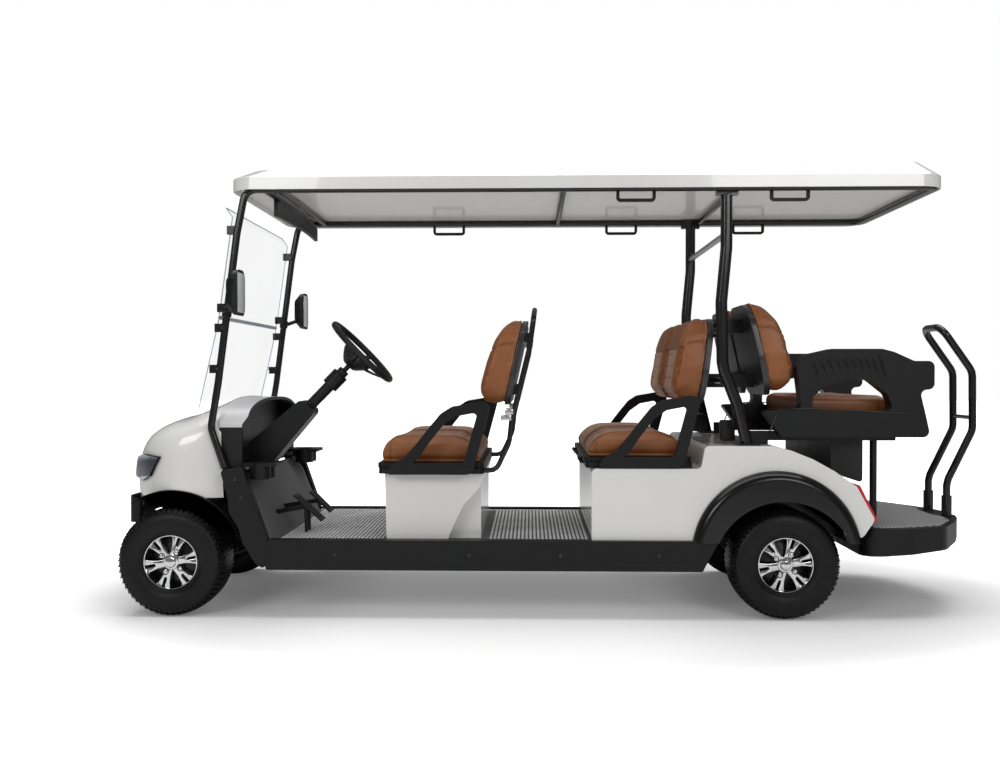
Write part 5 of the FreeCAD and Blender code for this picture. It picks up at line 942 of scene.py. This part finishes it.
hoop = [on_wheel(ring_radius, k * math.tau / 96, 0.0) for k in range(96)]
wheel_meshes = [swept(hoop, grip_radius, 20, closed=True)]
spoke_widths = {0.0: 0.026, 0.15: 0.022, 0.35: 0.0165, 0.55: 0.014, 0.75: 0.013, 0.9: 0.0135, 1.0: 0.015}
for degrees in (97, -97, 180):
    arm = [on_wheel(0.03 + 0.138 * t, math.radians(degrees), -0.052 + 0.05 * t ** 1.7) for t in spoke_widths]
    wheel_meshes.append(swept(arm, list(spoke_widths.values()), 12, flat=0.36, flat_way=wheel_axis))
bowl = [(0.0001, -0.012), (0.045, -0.013), (0.068, -0.017), (0.077, -0.026), (0.073, -0.04), (0.059, -0.06),
        (0.043, -0.078), (0.03, -0.088), (0.0001, -0.09)]
bowl_rows = [[on_wheel(radius, k * math.tau / 40, rise) for k in range(40)] for radius, rise in bowl]
wheel_meshes.append(outward(sheet_of(bowl_rows, closed=True), 0.0003))
made("steering_wheel_dressed", wheel_meshes, wheel_grip, "steering_wheel", ["steering_wheel"], smooth=0.7)


# Springs and bolts: white coils round the two front dampers, and black dome-headed bolts where panels
# and clamps are fixed. One bolt is drawn and set at each place, turned to face outward.

coil_white = Finish("coil_white", "white_body", (0.72, 0.72, 0.7), 0.35)
coil_white.patchy(50.0, 3.0, 0.2, 0.28)
coil_white.grain(400.0, 2.0, 0.0002, 0.4)
coil_radius, wire_radius, coil_steps, steps_a_turn = 0.0285, 0.0055, 130, 22
coil_meshes = []
for side in (1, -1):
    foot, head = Vector((1.63, side * 0.296, 0.262)), Vector((1.63, side * 0.236, 0.47))
    one = (head - foot).normalized().orthogonal().normalized()
    two = (head - foot).normalized().cross(one)
    turns = []
    for k in range(coil_steps + 1):
        angle = k * math.tau / steps_a_turn
        out = (one * math.cos(angle) + two * math.sin(angle)) * coil_radius
        turns.append(foot + (head - foot) * (0.3 + 0.6 * k / coil_steps) + out)
    coil_meshes.append(swept(turns, wire_radius, 8))
made("damper_coils", coil_meshes, coil_white, "chassis", smooth=0.8)

steel_bolt = Finish("bolt_black", "black_steel", (0.012, 0.012, 0.0125), 0.3)
steel_bolt.patchy(200.0, 2.0, 0.2, 0.2)


def bolts(name, radius, spots):
    """Dome-headed bolts on the chassis, each a (place, facing) pair."""
    head = [(0.0, 1.0), (0.35, 0.96), (0.7, 0.72), (0.92, 0.42), (1.0, 0.12), (1.0, -0.2)]
    rows = [[Vector((r * c, r * s, z * 0.55)) for c, s in circle(16)] for r, z in head]
    shape = outward(sheet_of(rows, closed=True), 0.001)
    made(name, repeated(shape, *zip(*spots), radius), steel_bolt, "chassis", smooth=0.9)


sill_face_y = 0.6
sill_places = ((0.925, 0.27), (0.36, 0.27), (-0.02, 0.27), (-0.43, 0.27))
cover_places = ((1.345, 0.585), (1.32, 0.51))
board_way = (-0.93, 0, 0.37)
panel_bolts = [((x, side * sill_face_y, z), (0, side, 0))
               for places in (sill_places, cover_places) for x, z in places for side in (1, -1)]
panel_bolts += [((1.29, y, z), board_way) for y in (-0.4, -0.2, 0.42) for z in (0.5, 0.42)]
bolts("sill_bolts", 0.008, panel_bolts)


# Mirrors: flat silvered glass let into the rear faces of the two dark housings, with the least of
# edges showing round it. The glass's pale colour is a painted reflection.

# Painted reflection: the glass is a pale, mostly non-metallic colour that stands for what the mirror shows.
mirror_painted_reflection = Finish("mirror_glass", "bright_steel", (0.7, 0.72, 0.76), 0.05, metallic=0.2, coat_weight=0.5)
mirror_painted_reflection.patchy(5.0, 2.0, 0.03, 0.02)
glass_y, glass_z, glass_half_wide, glass_half_tall = 0.646, 1.364, 0.052, 0.082
glasses = []
for side in (1, -1):
    glass = slab((1.3025, 1.3055), around(side * glass_y, glass_half_wide), around(glass_z, glass_half_tall))
    glasses.append(rounded(glass, 0.0012))
made("mirror_glasses", glasses, mirror_painted_reflection, "chassis", smooth=0.5)


# Windshield and tail lamps: two clear plastic panes, one above the other, and red moulded lenses. The
# bare bar across the rear pillars is bright metal.

pane = Finish("clear_pane", "clear_pane", (0.95, 0.98, 1.0), 0.03, transmission_weight=1.0, ior=1.1)
pane.wear(alpha=pane.noise(3.0, 2.0) * 0.03 + 0.07)
coat(pane, 0.0, "windshield", angle=0.6)
red = Finish("red_lens", "lamp_red", (0.5, 0.01, 0.015), 0.12)
red.grain(200.0, 1.0, 0.0003, 0.2)
coat(red, 0.002, "tail_lamps", angle=0.6)
bright = Finish("bright_steel", "bright_steel", (0.6, 0.6, 0.6), 0.3, metallic=1.0)
bright.patchy(80.0, 3.0, 0.2, 0.2)
bright.grain(300.0, 2.0, 0.0002, 0.3)
coat(bright, 0.0, "canopy_brace", angle=0.8)


# Windshield trim: the polished edges of both panes look pale blue, and a silvery strip covers the
# hinge between them. All are drawn along the panes' outline.

pane_edge = Finish("pane_edge", "clear_pane", (0.42, 0.5, 0.58), 0.2)
pane_edge.wear(base_color=pane_edge.mixed(pane_edge.noise(6.0, 2.0), pane_edge.colour, pane_edge.shade(1.4)))
hinge_grey = Finish("hinge_grey", "bright_steel", (0.42, 0.45, 0.5), 0.3)
hinge_grey.patchy(25.0, 3.0, 0.2, 0.2)
pane_side_y, edge_radius = 0.519, 0.0026
lower_pane = ((1.520, 0.885), (1.434, 1.26))
upper_pane = ((1.4315, 1.28), (1.3735, 1.696), (1.4, 1.734))


def across_pane(x, z):
    return [Vector((x, y, z)) for y in (-pane_side_y, 0.0, pane_side_y)]


edge_paths = [[Vector((x, side * pane_side_y, z)) for x, z in line]
              for side in (1, -1) for line in (lower_pane, upper_pane)]
edge_meshes = [swept(path, edge_radius, 6) for path in edge_paths + [across_pane(1.4, 1.735)]]
made("pane_edges", edge_meshes, pane_edge, "chassis", smooth=0.8)
hinge_strip = swept(across_pane(1.4335, 1.2695), 0.0085, 12, flat=0.45, flat_way=(1, 0, 0.14))
made("pane_hinge", hinge_strip, hinge_grey, "chassis", smooth=0.8)


# Rear arm rests: slanted ribs stand out from the sides over the arch, and a moulded line runs round
# the lower side. They are glossier than the moulding they stand on.

rib_count, rib_step, rib_slant = 10, 0.031, 0.028
rib_face_y, rib_swell = 0.5295, 0.0025
rib_widths = {0.0: 0.003, 0.25: 0.0048, 0.5: 0.0055, 0.75: 0.0048, 1.0: 0.003}
arm_top = ((1.05, 1.158, 1.367), (1.086, 1.112, 1.112))
arch_top = ((1.09, 1.129, 1.234, 1.316, 1.4), (0.99, 1.012, 1.036, 1.03, 0.97))
line_face_y = 0.5305
lower_line = ((-0.9, 0.79), (-0.935, 0.875), (-1.02, 0.884), (-1.16, 0.882), (-1.4, 0.866), (-1.52, 0.864),
              (-1.548, 0.845))
rib_meshes = []
for side in (1, -1):
    for k in range(rib_count):
        top_x = -1.075 - rib_step * k
        low_x = top_x - rib_slant
        top_z, low_z = float(np.interp(-top_x, *arm_top)), float(np.interp(-low_x, *arch_top))
        path = [Vector((top_x + (low_x - top_x) * t, side * (rib_face_y + rib_swell * math.sin(t * math.pi)),
                        top_z + (low_z - top_z) * t)) for t in rib_widths]
        rib_meshes.append(swept(path, list(rib_widths.values()), 8, flat=0.6, flat_way=(0, 1, 0)))
    rib_meshes.append(swept([Vector((x, side * line_face_y, z)) for x, z in lower_line], 0.003, 8))
made("tray_ribs", rib_meshes, gloss_black, "chassis", smooth=0.8)


# Rear step: a grey rubber mat of round studs inside a plain border, laid round the feet of the grab
# handle. The studs are too small to see one by one from the side; their tops are painted lighter and the
# gaps darker, painted light and shade for their relief.

step_mat = Finish("step_mat", "deck_grey", (0.36, 0.36, 0.362), 0.6, 0.3)
studs_a_metre = 62.0
stud_x = (step_mat.axis("X") * studs_a_metre).part() - 0.5
stud_y = (step_mat.axis("Y") * studs_a_metre).part() - 0.5
stud_relief_and_shade = (stud_x * stud_x + stud_y * stud_y).ramp(0.05, 0.11)
# Painted light and shade: the studs' tops are a light grey and the gaps round them a dark grey, one rubber
# lit unevenly by its relief.
step_mat.wear(base_color=step_mat.mixed(stud_relief_and_shade, (0.52, 0.52, 0.525, 1.0), (0.15, 0.15, 0.152, 1.0)),
              roughness=step_mat.noise(70.0, 3.0) * 0.15 + 0.5)
step_mat.bumped(1.0 - stud_relief_and_shade, 0.0012, 0.8)
plan_half = [(-1.335, 0.53), (-1.48, 0.52), (-1.64, 0.455), (-1.745, 0.28), (-1.758, 0.16), (-1.758, 0.155),
             (-1.735, 0.075)]
plan = plan_half + [(x, -y) for x, y in plan_half[::-1]]
made("step_mat", rounded(block(plan, 0.3815, 0.3855), 0.0015), step_mat, "chassis", smooth=0.5)


# Small fittings: a belt reel at each side behind the middle row, the two short posts of the pedals,
# and bolts on the pane clamps and on the grab handle's sockets.

reel = Finish("reel_black", "black_plastic", (0.009, 0.009, 0.0095), 0.35, 0.4)
reel.patchy(60.0, 3.0, 0.2, 0.26)
reel.grain(600.0, 2.0, 0.0002, 0.4)
reel_y, reel_half, pedal_y, post_y = 0.4, 0.03, 0.27, 0.03
fitting_meshes = []
for side in (1, -1):
    case = slab((-0.775, -0.715), around(side * reel_y, reel_half), (0.74, 0.83))
    fitting_meshes.append(rounded(case, 0.008, 3))
    post = [Vector((x, pedal_y + side * post_y, z)) for x, z in ((1.105, 0.325), (1.108, 0.43))]
    fitting_meshes.append(swept(post, 0.008, 8))
made("belt_reels", fitting_meshes, reel, "chassis")

clamp_face_y, socket_x, socket_y, socket_radius = 0.546, -1.795, 0.113, 0.0215
small_bolts = []
for side in (1, -1):
    for z in (1.05, 1.225, 1.31, 1.64):
        x = float(np.interp(z, (0.985, 1.625), (1.435, 1.352))) + 0.008
        small_bolts.append(((x, side * clamp_face_y, z), (0, side, 0)))
    for z in (0.405, 0.452):
        for way in (1, -1):
            small_bolts.append(((socket_x, side * socket_y + way * socket_radius, z), (0, way, 0)))
bolts("clamp_bolts", 0.006, small_bolts)


# Back boards: grey-black moulded boards behind the seat backs, a little scuffed and glossier than the
# trims round them.

board = Finish("back_board", "black_plastic", (0.02, 0.02, 0.021), 0.32)
board.wear(base_color=board.mixed(board.noise(6.0, 4.0).ramp(0.4, 0.75), board.colour, board.shade(1.8)),
           roughness=board.noise(25.0, 3.0) * 0.15 + 0.24)
board.grain(500.0, 2.0, 0.0002, 0.4)
coat(board, moulded_edge, "back_shells", angle=0.55)


# Clamps of the front hoop: two bright brackets at each side, one above the other, where its legs pass
# the seat's rail.

clamp_y, clamp_half_wide, clamp_half_tall = 0.47, 0.02, 0.012
clamp_meshes = []
for side in (1, -1):
    for low_x, high_x, z in ((0.178, 0.214, 0.868), (0.186, 0.232, 0.842)):
        clamp = slab((low_x, high_x), around(side * clamp_y, clamp_half_wide), around(z, clamp_half_tall))
        clamp_meshes.append(rounded(clamp, 0.003))
made("hoop_clamps", clamp_meshes, bright, "chassis", smooth=0.5)


# Studio: a white floor that takes the soft shadow under the cart, with a painted pool of light in a band
# under its middle, and fades to pure white away from it, a white backdrop for the camera, dimmer
# surroundings for reflections, and large soft lamps.

floor_half = 40
ground = placed("studio_floor", mesh_of([
    (x * floor_half, y * floor_half, 0) for x, y in ((-1, -1), (1, -1), (1, 1), (-1, 1))
], [(0, 1, 2, 3)]))
floor_paint = Finish("studio_floor_white", "", (0.8, 0.8, 0.8), 0.9, 0.0, emission_color=(1.0, 1.0, 1.0, 1.0))
floor_seen = floor_paint.ray("Camera")
far_along = floor_paint.axis("X") / 1.5
far_across = floor_paint.axis("Y")
far = (far_along * far_along + far_across * far_across).root()
# Painted pool of light: for the camera, the floor glows a little brighter in a band across the middle of the
# cart, as if lit from behind under it.
between = 1.0 - abs(floor_paint.axis("X") - 0.25).ramp(0.45, 1.15)
floor_paint.wear(emission_strength=floor_seen * (far.ramp(1.25, 2.3) * 1.2 + between * 0.12 + 0.11))
ground.data.materials.append(floor_paint.material)

world = bpy.data.worlds.new("studio")
bpy.context.scene.world = world
world.use_nodes = True
sky = Graph(world.node_tree)
backdrop = world.node_tree.nodes["Background"]
camera_ray = sky.ray("Camera")
seen = camera_ray.maths("MAXIMUM", camera_ray, sky.ray("Transmission"))
sky.join(backdrop.inputs["Color"], (1.0, 1.0, 1.0, 1.0))
sky.join(backdrop.inputs["Strength"], seen * 0.72 + sky.ray("Glossy") * -0.13 + 0.28)


def turned_to(obj, way):
    obj.rotation_euler = way.to_track_quat("-Z", "Y").to_euler()


def softbox(name, place, target, width, height, power, seen=True):
    """A large soft lamp; an unseen one lights the object but isn't seen or mirrored."""
    lamp = bpy.data.lights.new(name, "AREA")
    lamp.shape = "RECTANGLE"
    lamp.size = width
    lamp.size_y = height
    lamp.energy = power
    obj = placed(name, lamp)
    obj.location = place
    turned_to(obj, Vector(target) - Vector(place))
    obj.visible_camera = obj.visible_glossy = obj.visible_transmission = seen


softbox("top_soft", (0.0, -0.4, 4.8), (0.0, 0.0, 0.0), 7.0, 4.5, 330.0)
softbox("front_soft", (3.2, 5.6, 3.4), (0.5, 0.0, 0.6), 2.6, 1.8, 82.0)
softbox("roof_fill", (-0.1, 0.0, 1.3), (-0.1, 0.0, 1.9), 2.9, 0.9, 4.5, seen=False)
softbox("side_soft", (-2.8, 5.9, 3.2), (-0.6, 0.0, 0.6), 2.6, 1.8, 76.0)

# The photograph's focal length in pixels, and how far its middle lies from straight ahead.
focal, turn_shift, dip_shift, frame_width, sensor = 1078.0, 30.0, 13.5, 1000.0, 36.0
camera_turn, camera_dip = math.atan(turn_shift / focal), math.atan(dip_shift / focal)
camera_lens = bpy.data.cameras.new("photo_camera")
camera_lens.sensor_width = sensor
camera_lens.lens = sensor * focal / frame_width
camera = placed("photo_camera", camera_lens)
camera.location = (0.107, 5.085, 1.02)
turned_to(camera, Vector((
    math.sin(camera_turn) * math.cos(camera_dip), -math.cos(camera_turn) * math.cos(camera_dip),
    -math.sin(camera_dip),
)))
bpy.context.scene.camera = camera
bpy.context.scene.view_settings.view_transform = "Standard"
